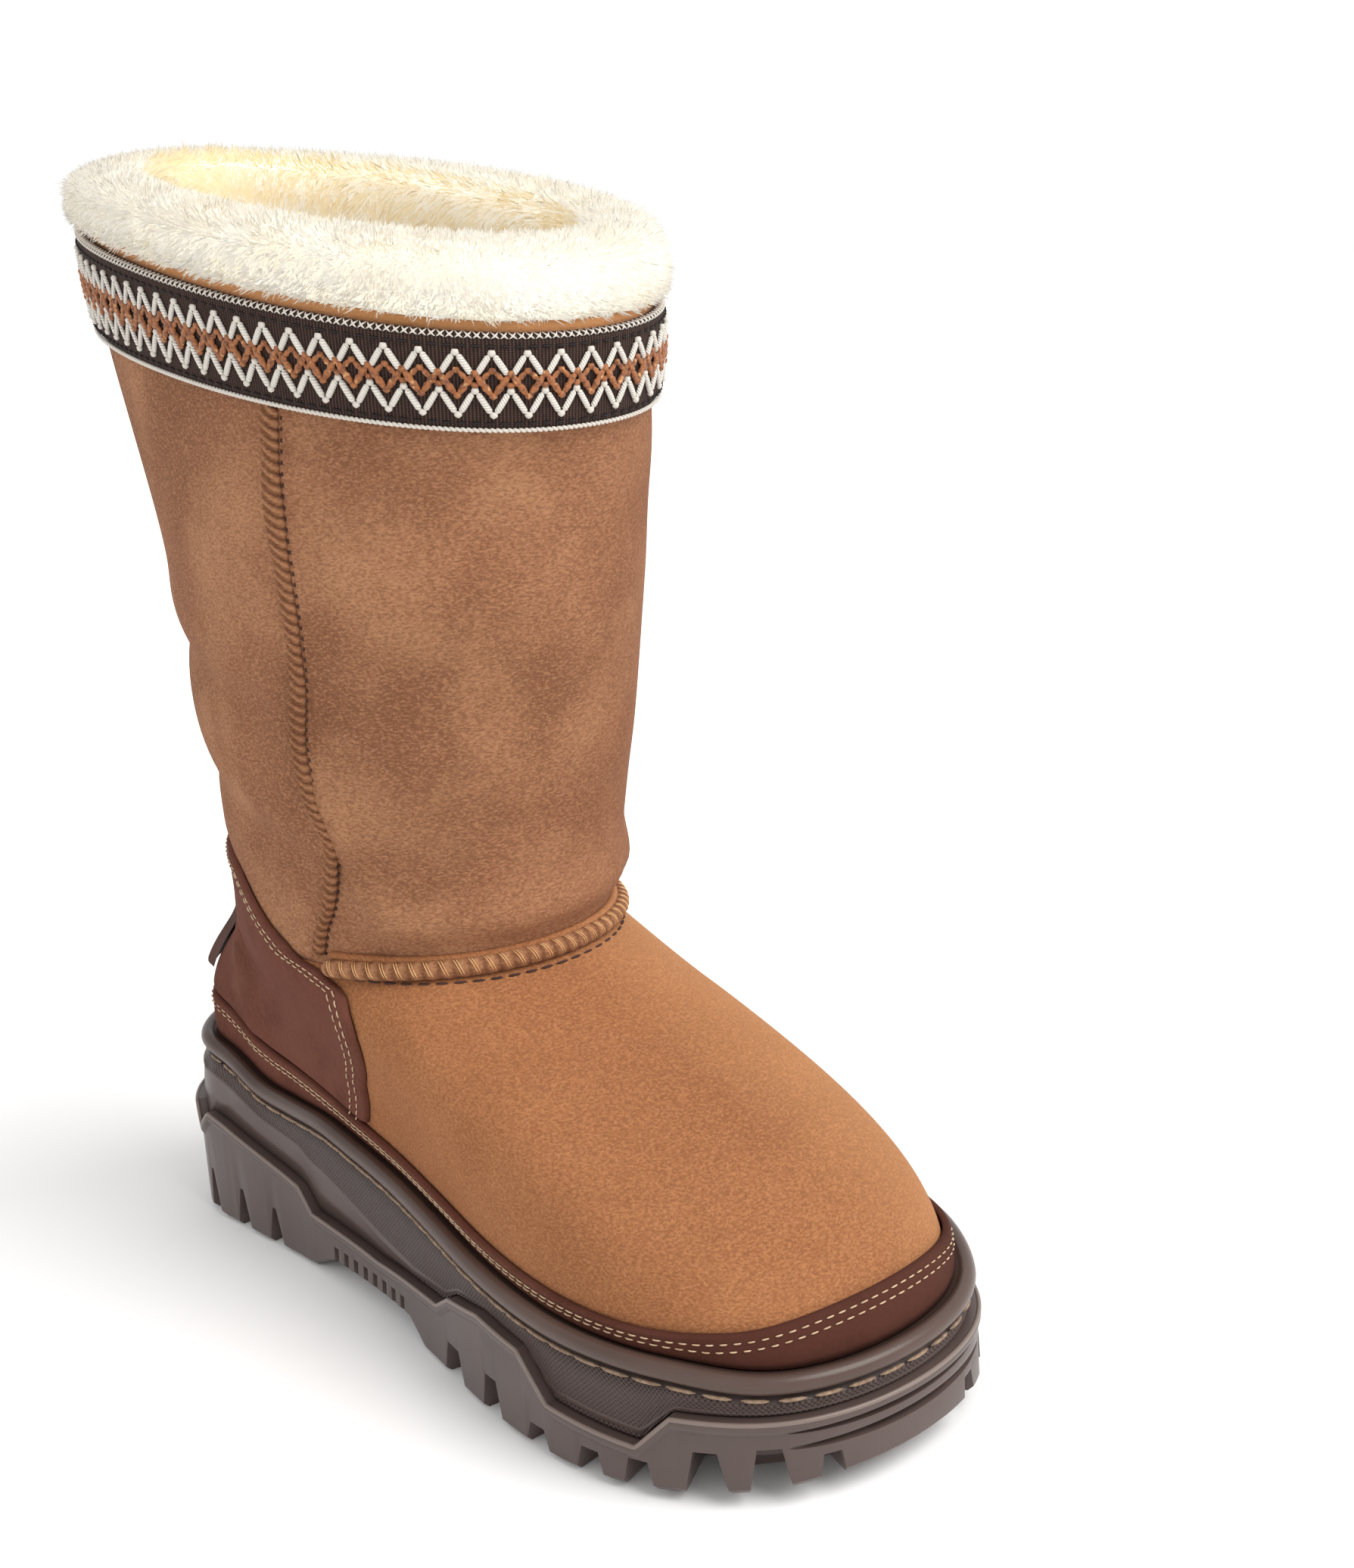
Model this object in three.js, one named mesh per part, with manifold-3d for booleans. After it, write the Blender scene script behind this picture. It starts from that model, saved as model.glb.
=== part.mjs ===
// Right sheepskin boot with a lugged platform sole, in millimetres, +Z up.
// The toe points to -Y and the outer side of the foot is -X.
import * as THREE from 'three';
import { mergeVertices } from 'three/addons/utils/BufferGeometryUtils.js';
import Module from 'manifold-3d';

const wasm = await Module();
wasm.setup();

// Foot and sole sizes
const SOLE_LENGTH = 280;
const BALL_WIDTH = 116;
const SOLE_HEIGHT = 56;
const TOE_SPRING = 6;
const ARCH_LIFT = 5.5;
const TREAD_BEVEL = 1.6;
const TRAY_HEIGHT = 11;
const TRAY_WALL = 4.2;
const LIP_THICKNESS = 1.8;
const FIT_GAP = 0.3;
const OVERLAY_GAP = 0.5;

// Tread
const NOTCH_DEPTH = 22;
const RIB_COUNT = 8;
const RIB_NOTCH_WIDTH = 2.4;
const RIB_NOTCH_DEPTH = 3.5;
const RIB_NOTCH_HEIGHT = 5.5;
const RIB_START = 0.35;
const RIB_END = 0.485;
const TREAD_RECESS = 3.5;
const TREAD_RIM = 26;
const BAR_COUNT = 5;
const BAR_LENGTH = 9;
const TOE_GROOVE_DEPTH = 1.8;
const TOE_GROOVE_WIDTH = 1.9;

// Midsole and welt
const MIDSOLE_INSET = 2.4;
const FACET_PROUD = 1.1;
const BEAD_RADIUS = 3;
const BEAD_INSET = 2;
const STITCH_GROOVE = 1.4;
const FLANGE_THICKNESS = 3;
const UPPER_INSET = 7.6;
const HEEL_TUCK = 3.6;

// Upper
const WALL = 3;
const INSOLE_THICKNESS = 5;
const SEAM_HEIGHT = 97.5;
const SHAFT_TOP = 286.8;
const TOP_RISE = 20;
const TOP_SAG = 1.7;
const SHAFT_SHIFT = 4;
const SHAFT_DEPTH = 193;
const SHAFT_WIDTH = 121;
const SQUARENESS = 2.1;
const EGG = 0.05;

// Overlays and seams
const OVERLAY = 1.6;
const RIM_ROLL = 0.9;
const FOXING_HEIGHT = 14;
const ROLL_RADIUS = 2.2;
const SIDE_SEAM_WIDTH = 5;
const SIDE_SEAM_HEIGHT = 2.4;
const TAB_BASE = 76;
const TAB_LENGTH = 21;
const TAB_WIDTH = 54;
const TAB_THICKNESS = 2.4;
const BAND_HEIGHT = 25;
const BAND_THICKNESS = 2;
const BAND_EDGE = 4.5;

// Fleece
const FLEECE_HEIGHT = 13.5;
const FLEECE_FALL = 4.4;
const FLEECE_DEPTH = 22;
const FLEECE_BULGE = 7;
const LOCK_COUNT = 22;
const LOCK_LENGTH = 3;
const LOCK_RADIUS = 4.5;

// Half widths of the sole as shares of the ball width, at shares of its length from the heel.
// Each is divided by the half circle that rounds the two ends.
const OUTLINE = [
  { at: 0.0, outer: 0.785, inner: 0.785 },
  { at: 0.08, outer: 0.672, inner: 0.655 },
  { at: 0.15, outer: 0.532, inner: 0.522 },
  { at: 0.25, outer: 0.43, inner: 0.413 },
  { at: 0.35, outer: 0.395, inner: 0.388 },
  { at: 0.45, outer: 0.395, inner: 0.405 },
  { at: 0.55, outer: 0.432, inner: 0.45 },
  { at: 0.65, outer: 0.497, inner: 0.505 },
  { at: 0.75, outer: 0.57, inner: 0.565 },
  { at: 0.85, outer: 0.65, inner: 0.64 },
  { at: 0.93, outer: 0.722, inner: 0.722 },
  { at: 1.0, outer: 0.84, inner: 0.84 },
];

// Height of the middle of the welt bead as a share of the sole height, height of the foxing strip
// above it, and how far both are tucked in over the heel.
const WELT = [
  { at: 0.0, bead: 1.0, strip: 1.0, tuck: 1 },
  { at: 0.1, bead: 0.97, strip: 0.95, tuck: 0.9 },
  { at: 0.16, bead: 0.915, strip: 0.9, tuck: 0.7 },
  { at: 0.21, bead: 0.845, strip: 0.84, tuck: 0.45 },
  { at: 0.27, bead: 0.83, strip: 0.72, tuck: 0.2 },
  { at: 0.34, bead: 0.83, strip: 0.5, tuck: 0.05 },
  { at: 0.4, bead: 0.79, strip: 0.42, tuck: 0 },
  { at: 0.5, bead: 0.735, strip: 0.36, tuck: 0 },
  { at: 0.6, bead: 0.68, strip: 0.36, tuck: 0 },
  { at: 0.75, bead: 0.61, strip: 0.38, tuck: 0 },
  { at: 0.88, bead: 0.58, strip: 0.4, tuck: 0 },
  { at: 0.95, bead: 0.535, strip: 0.6, tuck: 0 },
  { at: 1.0, bead: 0.525, strip: 0.82, tuck: 0 },
];

// Top edge of the outsole lip, as a share of the sole height.
const LIP = [
  { at: 0.0, lip: 0.66 },
  { at: 0.08, lip: 0.63 },
  { at: 0.092, lip: 0.51 },
  { at: 0.115, lip: 0.61 },
  { at: 0.165, lip: 0.56 },
  { at: 0.285, lip: 0.435 },
  { at: 0.308, lip: 0.32 },
  { at: 0.44, lip: 0.29 },
  { at: 0.57, lip: 0.335 },
  { at: 0.6, lip: 0.43 },
  { at: 0.66, lip: 0.48 },
  { at: 0.725, lip: 0.45 },
  { at: 0.763, lip: 0.26 },
  { at: 0.862, lip: 0.23 },
  { at: 0.893, lip: 0.395 },
  { at: 1.0, lip: 0.39 },
];

// Underside: share of the toe spring and of the arch lift.
const TREAD = [
  { at: 0.0, spring: 0.45, arch: 0 },
  { at: 0.1, spring: 0.1, arch: 0 },
  { at: 0.13, spring: 0, arch: 0 },
  { at: 0.295, spring: 0, arch: 0 },
  { at: 0.335, spring: 0, arch: 1 },
  { at: 0.5, spring: 0, arch: 1 },
  { at: 0.53, spring: 0, arch: 0 },
  { at: 0.78, spring: 0, arch: 0 },
  { at: 0.88, spring: 0.32, arch: 0 },
  { at: 0.95, spring: 0.62, arch: 0 },
  { at: 1.0, spring: 1, arch: 0 },
];

// Notches between the lugs, on both sides: root and mouth widths and root height, in shares
// of the notch depth.
const NOTCHES = [
  { at: 0.03, root: 0.08, mouth: 0.3, rise: 0.6 },
  { at: 0.105, root: 0.06, mouth: 0.3, rise: 0.66 },
  { at: 0.165, root: 0.08, mouth: 0.36, rise: 0.6 },
  { at: 0.228, root: 0.08, mouth: 0.36, rise: 0.56 },
  { at: 0.597, root: 0.3, mouth: 0.56, rise: 0.46 },
  { at: 0.672, root: 0.24, mouth: 0.46, rise: 0.5 },
  { at: 0.745, root: 0.24, mouth: 0.46, rise: 0.3 },
  { at: 0.812, root: 0.24, mouth: 0.42, rise: 0.32 },
  { at: 0.862, root: 0.24, mouth: 0.4, rise: 0.34 },
  { at: 0.917, root: 0.26, mouth: 0.5, rise: 0.5 },
  { at: 0.958, root: 0.26, mouth: 0.46, rise: 0.5 },
  { at: 0.985, root: 0.2, mouth: 0.3, rise: 0.3 },
];

// Diagonal edge on the midsole side, as a share of the way from the lip to the stitch groove.
const FACET = [
  { at: 0.0, edge: 0.86, proud: 1 },
  { at: 0.3, edge: 0.6, proud: 1 },
  { at: 0.5, edge: 0.14, proud: 0.8 },
  { at: 0.56, edge: 0.1, proud: 0 },
  { at: 1.0, edge: 0.1, proud: 0 },
];

// Path of the foot part from the welt to the ankle seam, by place round the foot: how far the
// wall rises and leans out at the welt and how far it reaches and drops at the ankle, as
// shares of the seam height.
const FOOT = [
  { at: 0.0, rise: 0.27, lean: 0.03, reach: 0.02, drop: 0.13 },
  { at: 0.12, rise: 0.27, lean: 0.03, reach: 0.03, drop: 0.14 },
  { at: 0.25, rise: 0.26, lean: 0.03, reach: 0.2, drop: 0.16 },
  { at: 0.36, rise: 0.27, lean: 0.03, reach: 0.46, drop: 0.2 },
  { at: 0.5, rise: 0.26, lean: 0.04, reach: 0.58, drop: 0.26 },
];

// Shaft sections from the seam to the top edge: depth and width as shares of the named ones,
// and the centre behind the middle of the sole as a share of its length.
const SHAFT = [
  { at: 0.0, depth: 0.594, width: 0.78, centre: 0.176, egg: 0.3 },
  { at: 0.06, depth: 0.608, width: 0.8, centre: 0.172, egg: 0.3 },
  { at: 0.28, depth: 0.688, width: 0.885, centre: 0.165, egg: 0.5 },
  { at: 0.56, depth: 0.805, width: 0.94, centre: 0.164, egg: 0.8 },
  { at: 0.72, depth: 0.888, width: 0.955, centre: 0.174, egg: 0.9 },
  { at: 0.85, depth: 0.965, width: 0.962, centre: 0.184, egg: 1 },
  { at: 1.0, depth: 1, width: 1, centre: 0.182, egg: 1 },
];

// Lower and upper edge of the heel counter as shares of the seam height, by place round the foot
// from the back centre.
const COUNTER = [
  { at: 0.0, base: 0.3, top: 1.3 },
  { at: 0.08, base: 0.3, top: 1.29 },
  { at: 0.14, base: 0.3, top: 1.265 },
  { at: 0.19, base: 0.3, top: 1.235 },
  { at: 0.214, base: 0.4, top: 1.147 },
  { at: 0.222, base: 0.54, top: 1.12 },
  { at: 0.234, base: 0.67, top: 1.085 },
  { at: 0.25, base: 0.75, top: 1.05 },
  { at: 0.267, base: 0.828, top: 1.015 },
  { at: 0.285, base: 0.9, top: 0.98 },
  { at: 0.295, base: 0.935, top: 0.955 },
];

// Side seams on the shaft: place round the leg at shares of the shaft height.
const SIDE_SEAM = [
  { at: 0.0, round: 0.29 },
  { at: 0.06, round: 0.299 },
  { at: 0.1, round: 0.31 },
  { at: 0.16, round: 0.318 },
  { at: 0.205, round: 0.321 },
  { at: 0.275, round: 0.311 },
  { at: 0.355, round: 0.308 },
  { at: 0.46, round: 0.314 },
  { at: 0.7, round: 0.314 },
  { at: 0.86, round: 0.321 },
];

// Section of the fleece roll: out from the shaft wall as a share of the fleece depth, or of its
// bulge beyond the wall, up from the top edge as a share of its height, and the shaft level.
const FLEECE = [
  { out: 0.0, up: 0, level: 5 },
  { out: 0.0, up: 0, level: 6 },
  { out: 0.0, up: 0, level: 7 },
  { out: 0.0, up: 0.01, level: 8 },
  { out: 0.22, up: 0.14, level: 8 },
  { out: 0.34, up: 0.45, level: 8 },
  { out: 0.16, up: 0.82, level: 8 },
  { out: -0.25, up: 1, level: 8 },
  { out: -0.64, up: 0.9, level: 8 },
  { out: -0.95, up: 0.4, level: 8 },
  { out: -1.0, up: 0, level: 7 },
  { out: -0.85, up: 0, level: 6 },
  { out: -0.5, up: 0, level: 5 },
];

// Smooth curve through one column of a table.
function along(table, column, at) {
  const last = table.length - 1;
  const t = Math.min(Math.max(at, table[0].at), table[last].at);
  let i = 0;
  while (i < last - 1 && t > table[i + 1].at) i += 1;
  const slope = (k) => {
    const a = table[Math.max(k - 1, 0)];
    const b = table[Math.min(k + 1, last)];
    return (b[column] - a[column]) / (b.at - a.at);
  };
  const p = table[i];
  const q = table[i + 1];
  const span = q.at - p.at;
  const f = (t - p.at) / span;
  const f2 = f * f;
  const f3 = f2 * f;
  return (2 * f3 - 3 * f2 + 1) * p[column] + (f3 - 2 * f2 + f) * span * slope(i)
    + (3 * f2 - 2 * f3) * q[column] + (f3 - f2) * span * slope(i + 1);
}

// Straight line through one column of a table, for forms with sharp steps.
function stepped(table, column, at) {
  let i = 0;
  while (i < table.length - 2 && at > table[i + 1].at) i += 1;
  const f = THREE.MathUtils.clamp((at - table[i].at) / (table[i + 1].at - table[i].at), 0, 1);
  return THREE.MathUtils.lerp(table[i][column], table[i + 1][column], f);
}

// Share of the sole length at a place round the foot: 0 at the heel, 0.5 at the toe.
const lengthShare = (round) => (1 - Math.cos(2 * Math.PI * round)) / 2;
const roundAt = (share) => Math.acos(1 - 2 * share) / (2 * Math.PI);

function outlinePoint(round) {
  const share = lengthShare(round);
  const side = Math.sin(2 * Math.PI * round);
  const half = along(OUTLINE, side > 0 ? 'outer' : 'inner', share) * BALL_WIDTH;
  return new THREE.Vector2(-side * half, (0.5 - share) * SOLE_LENGTH);
}

// Outward direction of the sole outline.
function outlineNormal(round) {
  const step = 0.002;
  const a = outlinePoint(round - step);
  const b = outlinePoint(round + step);
  return new THREE.Vector2(a.y - b.y, b.x - a.x).normalize().negate();
}

function solePoint(round, inset, z) {
  const p = outlinePoint(round).addScaledVector(outlineNormal(round), -inset);
  return new THREE.Vector3(p.x, p.y, z);
}

// Share of the sole length at a point's own place.
const ownShare = (p) => THREE.MathUtils.clamp(0.5 - p.y / SOLE_LENGTH, 0, 1);

// Point at a height above the middle of the welt bead, tucked in over the heel.
const tuckIn = (share) => along(WELT, 'tuck', share) * HEEL_TUCK;
function weltPoint(round, inset, above) {
  const p = solePoint(round, inset + tuckIn(lengthShare(round)), 0);
  p.z = beadHeight(ownShare(p)) + above;
  return p;
}

const beadHeight = (share) => along(WELT, 'bead', share) * SOLE_HEIGHT;
const lipHeight = (share) => stepped(LIP, 'lip', share) * SOLE_HEIGHT;
const treadHeight = (share) => stepped(TREAD, 'spring', share) * TOE_SPRING
  + stepped(TREAD, 'arch', share) * ARCH_LIFT;
const grooveHeight = (share) => beadHeight(share) - BEAD_RADIUS - STITCH_GROOVE;

// Places round the foot. The rings of the upper share one set, so that neighbours keep their
// gap, and the rings of the sole share another, with the steps of the lip added.
const PLACE_COUNT = 40;
const UPPER_PLACES = Array.from({ length: PLACE_COUNT }, (_, i) => (i + 0.5) / PLACE_COUNT);
const SOLE_PLACES = solePlaces();

function solePlaces() {
  const edges = LIP.slice(1, -1).map((row) => roundAt(row.at));
  const fixed = edges.concat(edges.map((place) => 1 - place));
  const apart = 0.55 / PLACE_COUNT;
  const free = UPPER_PLACES.filter((place) => fixed.every((edge) => Math.abs(edge - place) > apart));
  return fixed.concat(free).sort((a, b) => a - b);
}

// Closed solid through loops of points. The loops join end to end, or the two end loops are
// filled by strips across them.
function loopsToGeometry(loops, joined) {
  const count = loops[0].length;
  const positions = [];
  for (const loop of loops) for (const p of loop) positions.push(p.x, p.y, p.z);
  const index = [];
  const corner = (k) => new THREE.Vector3(...positions.slice(3 * k, 3 * k + 3));
  const quad = (a, b, c, d) => {
    const level = corner(a).distanceTo(corner(c)) <= corner(b).distanceTo(corner(d));
    index.push(...(level ? [a, b, c, a, c, d] : [a, b, d, b, c, d]));
  };
  const rows = joined ? loops.length : loops.length - 1;
  for (let r = 0; r < rows; r += 1) {
    const here = r * count;
    const next = ((r + 1) % loops.length) * count;
    for (let i = 0; i < count; i += 1) {
      const j = (i + 1) % count;
      quad(here + i, here + j, next + j, next + i);
    }
  }
  if (!joined) {
    const end = (loops.length - 1) * count;
    for (let i = 0; i < Math.floor(count / 2) - 1; i += 1) {
      const far = count - 1 - i;
      quad(i, far, far - 1, i + 1);
      quad(end + i, end + i + 1, end + far - 1, end + far);
    }
    if (count % 2) {
      const mid = (count - 1) / 2;
      index.push(mid - 1, mid + 1, mid);
      index.push(end + mid - 1, end + mid, end + mid + 1);
    }
  }
  const geometry = new THREE.BufferGeometry();
  geometry.setAttribute('position', new THREE.Float32BufferAttribute(positions, 3));
  geometry.setIndex(index);
  if (signedVolume(geometry) < 0) flip(geometry);
  return geometry;
}

function signedVolume(geometry) {
  const p = geometry.getAttribute('position');
  const index = geometry.getIndex();
  const corner = (k) => new THREE.Vector3().fromBufferAttribute(p, index.getX(k));
  let sum = 0;
  for (let k = 0; k < index.count; k += 3) {
    sum += corner(k).dot(corner(k + 1).cross(corner(k + 2)));
  }
  return sum / 6;
}

function flip(geometry) {
  const index = geometry.getIndex();
  for (let k = 0; k < index.count; k += 3) {
    const a = index.getX(k);
    index.setX(k, index.getX(k + 1));
    index.setX(k + 1, a);
  }
}

function toSolid(geometry) {
  const bare = geometry.clone();
  bare.deleteAttribute('normal');
  bare.deleteAttribute('uv');
  const merged = mergeVertices(bare, 1e-3);
  return new wasm.Manifold(new wasm.Mesh({
    numProp: 3,
    vertProperties: new Float32Array(merged.getAttribute('position').array),
    triVerts: new Uint32Array(merged.getIndex().array),
  }));
}

function toGeometry(solid) {
  const mesh = solid.getMesh();
  const geometry = new THREE.BufferGeometry();
  geometry.setAttribute('position', new THREE.BufferAttribute(mesh.vertProperties, 3));
  geometry.setIndex(new THREE.BufferAttribute(mesh.triVerts, 1));
  return geometry;
}

// Solid through level rings round the sole. A ring's inset and height follow the share of the
// sole length, of its place round the foot or of the point itself.
function soleSolid(rings, places = SOLE_PLACES) {
  const loops = rings.map(({ inset, height }) => places.map((round) => {
    const share = lengthShare(round);
    const inward = typeof inset === 'function' ? inset(share) : inset;
    const p = solePoint(round, inward, 0);
    p.z = height(share, ownShare(p));
    return p;
  }));
  return loopsToGeometry(loops, false);
}

// Wedge that is cut from the sole side at a share of its length, on one side of the foot.
function sideWedge({ share, inner, root, mouth, rise, depth }) {
  const place = inner ? 1 - roundAt(share) : roundAt(share);
  const shape = new THREE.Shape([
    new THREE.Vector2(-mouth / 2, -rise),
    new THREE.Vector2(mouth / 2, -rise),
    new THREE.Vector2(root / 2, rise),
    new THREE.Vector2(-root / 2, rise),
  ]);
  const reach = depth + BEAD_RADIUS;
  const wedge = new THREE.ExtrudeGeometry(shape, { depth: reach, bevelEnabled: false });
  const out = outlineNormal(place);
  const outward = new THREE.Vector3(out.x, out.y, 0);
  const up = new THREE.Vector3(0, 0, 1);
  const basis = new THREE.Matrix4().makeBasis(up.clone().cross(outward), up, outward);
  const base = solePoint(place, depth, treadHeight(share));
  wedge.applyMatrix4(basis.setPosition(base));
  return toSolid(wedge);
}

// Thin crescent that is cut round the toe at one height.
function toeGroove(height, startShare) {
  const start = roundAt(startShare);
  const steps = 16;
  const loops = [];
  for (let i = 0; i <= steps; i += 1) {
    const f = i / steps;
    const round = THREE.MathUtils.lerp(start, 1 - start, f);
    const share = Math.sin(Math.PI * f);
    const half = (TOE_GROOVE_WIDTH / 2) * (0.25 + 0.75 * share);
    const deep = TOE_GROOVE_DEPTH * share + LIP_THICKNESS * (1 - share) * 0.2;
    loops.push([
      solePoint(round, -BEAD_RADIUS, height - half),
      solePoint(round, deep, height - half * 0.4),
      solePoint(round, deep, height + half * 0.4),
      solePoint(round, -BEAD_RADIUS, height + half),
    ]);
  }
  return toSolid(loopsToGeometry(loops, false));
}

// Recess under the middle of one tread field, with bars left across it.
function treadRecess(fromShare, toShare) {
  const bars = BAR_COUNT;
  const field = (toShare - fromShare) * SOLE_LENGTH;
  const gap = (field - (bars - 1) * BAR_LENGTH) / bars;
  const cuts = [];
  for (let i = 0; i < bars; i += 1) {
    const y = (0.5 - fromShare) * SOLE_LENGTH - i * (gap + BAR_LENGTH) - gap / 2;
    const half = outlinePoint(roundAt(0.5 - y / SOLE_LENGTH)).x + TREAD_RIM;
    const top = treadHeight(0.5 - y / SOLE_LENGTH) + TREAD_RECESS;
    const cut = new THREE.BoxGeometry(Math.abs(half) * 2, gap, top * 2);
    cut.translate(0, y, 0);
    cuts.push(toSolid(cut));
  }
  return cuts;
}

function outsole() {
  const body = soleSolid([
    { inset: TREAD_BEVEL, height: treadHeight },
    { inset: 0, height: (s) => treadHeight(s) + TREAD_BEVEL },
    { inset: 0.4, height: (s) => lipHeight(s) - 2 * LIP_THICKNESS },
    { inset: -0.6, height: (s) => lipHeight(s) - LIP_THICKNESS },
    { inset: 0, height: lipHeight },
    { inset: TRAY_WALL, height: lipHeight },
    { inset: TRAY_WALL, height: () => TRAY_HEIGHT },
  ]);
  let solid = toSolid(body);
  const cuts = [];
  for (const row of NOTCHES) {
    for (const inner of [false, true]) {
      const rise = row.rise * NOTCH_DEPTH;
      const root = row.root * NOTCH_DEPTH;
      const mouth = root + (row.mouth * NOTCH_DEPTH - root) * 2;
      cuts.push(sideWedge({ share: row.at, inner, root, mouth, rise, depth: notchDepth(row) }));
    }
  }
  for (let i = 0; i < RIB_COUNT; i += 1) {
    const share = THREE.MathUtils.lerp(RIB_START, RIB_END, i / (RIB_COUNT - 1));
    for (const inner of [false, true]) {
      cuts.push(sideWedge({
        share,
        inner,
        root: RIB_NOTCH_WIDTH,
        mouth: RIB_NOTCH_WIDTH,
        rise: RIB_NOTCH_HEIGHT,
        depth: RIB_NOTCH_DEPTH,
      }));
    }
  }
  cuts.push(toeGroove(SOLE_HEIGHT * 0.335, 0.968));
  cuts.push(toeGroove(SOLE_HEIGHT * 0.265, 0.968));
  cuts.push(...treadRecess(0.12, 0.29), ...treadRecess(0.56, 0.9));
  for (const cut of cuts) solid = solid.subtract(cut);
  return toGeometry(solid);
}

// Notches near the two ends run less deep, so that they do not meet in the middle.
function notchDepth(row) {
  const fromEnd = Math.min(row.at, 1 - row.at) * SOLE_LENGTH;
  return Math.min(NOTCH_DEPTH, NOTCH_DEPTH * 0.45 + fromEnd * 0.35);
}

function midsole() {
  const inner = TRAY_WALL + FIT_GAP;
  const shelf = (s) => lipHeight(s) + 1.5 * FIT_GAP;
  const edge = (s, own) => THREE.MathUtils.lerp(shelf(s), grooveHeight(own),
    along(FACET, 'edge', s));
  const groove = (s, own) => grooveHeight(own);
  const underBead = (s) => BEAD_INSET + BEAD_RADIUS + FIT_GAP + tuckIn(s);
  return soleSolid([
    { inset: inner, height: () => TRAY_HEIGHT + FIT_GAP },
    { inset: inner, height: shelf },
    { inset: MIDSOLE_INSET, height: shelf },
    { inset: (s) => MIDSOLE_INSET - FACET_PROUD * along(FACET, 'proud', s) + 0.6 * tuckIn(s),
      height: edge },
    { inset: (s) => MIDSOLE_INSET + tuckIn(s), height: groove },
    { inset: underBead, height: groove },
    { inset: underBead,
      height: (s, own) => beadHeight(own) - FLANGE_THICKNESS / 2 - FIT_GAP },
  ]);
}

// Section of the welt, a round bead with a flat flange inward.
function welt() {
  const flangeInner = UPPER_INSET + WALL - 2 * FIT_GAP;
  const corners = 8;
  const loops = SOLE_PLACES.map((round) => {
    const loop = [weltPoint(round, flangeInner, -FLANGE_THICKNESS / 2)];
    for (let i = 0; i < corners; i += 1) {
      const angle = THREE.MathUtils.degToRad(-150 + (300 * i) / (corners - 1));
      loop.push(weltPoint(
        round,
        BEAD_INSET - BEAD_RADIUS * Math.cos(angle),
        BEAD_RADIUS * Math.sin(angle),
      ));
    }
    loop.push(weltPoint(round, flangeInner, FLANGE_THICKNESS / 2));
    return loop;
  });
  return loopsToGeometry(loops, true);
}

function insole() {
  const inset = (s) => UPPER_INSET + WALL + FIT_GAP + tuckIn(s);
  const base = (s, own) => beadHeight(own) - FLANGE_THICKNESS / 2;
  return soleSolid([
    { inset, height: base },
    { inset, height: (s, own) => base(s, own) + INSOLE_THICKNESS },
  ], UPPER_PLACES);
}

// Point on a shaft section. Share 0 is the ankle seam and 1 is the top edge.
function shaftPoint(round, share) {
  const angle = 2 * Math.PI * round;
  const power = 2 / SQUARENESS;
  const back = Math.sign(Math.cos(angle)) * Math.abs(Math.cos(angle)) ** power;
  const out = Math.sign(Math.sin(angle)) * Math.abs(Math.sin(angle)) ** power;
  const taper = 1 - EGG * along(SHAFT, 'egg', share) * back;
  const y = back * along(SHAFT, 'depth', share) * SHAFT_DEPTH / 2;
  const x = SHAFT_SHIFT - out * taper * along(SHAFT, 'width', share) * SHAFT_WIDTH / 2;
  const high = SHAFT_TOP + TOP_RISE * back - TOP_SAG * back * back;
  const centre = along(SHAFT, 'centre', share) * SOLE_LENGTH;
  return new THREE.Vector3(x, centre + y, THREE.MathUtils.lerp(SEAM_HEIGHT, high, share));
}

// Point on the foot part. Share 0 is the welt and 1 is the ankle seam.
function footPoint(round, share) {
  const place = Math.abs(((round + 0.5) % 1 + 1) % 1 - 0.5);
  const low = weltPoint(round, UPPER_INSET, FLANGE_THICKNESS / 2 + FIT_GAP);
  const high = shaftPoint(round, 0);
  const outward = outlineNormal(round);
  const toToe = new THREE.Vector2(low.x - high.x, low.y - high.y);
  if (toToe.length() > 0) toToe.normalize();
  const size = (column) => along(FOOT, column, place) * SEAM_HEIGHT;
  const first = low.clone();
  first.x += outward.x * size('lean');
  first.y += outward.y * size('lean');
  first.z += size('rise');
  const second = high.clone();
  second.x += toToe.x * size('reach');
  second.y += toToe.y * size('reach');
  second.z -= size('drop');
  return new THREE.CubicBezierCurve3(low, first, second, high).getPoint(share);
}

// Point off a surface along its own outward normal.
function offPoint(surface, round, share, out) {
  const step = 0.004;
  const low = Math.max(share - step, 0);
  const high = Math.min(share + step, 1);
  const across = surface(round + step, share).sub(surface(round - step, share));
  const upward = surface(round, high).sub(surface(round, low));
  const normal = across.cross(upward).normalize();
  return surface(round, share).addScaledVector(normal, out);
}

// Hollow wall between two offsets of a surface.
function wall(surface, shares, outer, inner, finish = (p) => p) {
  const loops = UPPER_PLACES.map((round) => {
    const side = (out) => shares.map((share) => finish(offPoint(surface, round, share, out), share));
    return side(outer).concat(side(inner).reverse());
  });
  return loopsToGeometry(loops, true);
}

const spread = (from, to, steps) => Array.from({ length: steps + 1 },
  (_, i) => THREE.MathUtils.lerp(from, to, i / steps));

const SHAFT_TALL = SHAFT_TOP - SEAM_HEIGHT;
const BAND_HIGH = (SHAFT_TALL - BAND_EDGE) / SHAFT_TALL;
const BAND_LOW = (SHAFT_TALL - BAND_EDGE - BAND_HEIGHT) / SHAFT_TALL;

// Levels of both walls, which the overlays and the fleece share.
const FOOT_LEVELS = [0, 0.12, 0.26, 0.43, 0.62, 0.82, 1];
const SHAFT_LEVELS = [0, 0.07, 0.17, 0.32, 0.5, 0.7, BAND_LOW, BAND_HIGH, 1];

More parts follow.
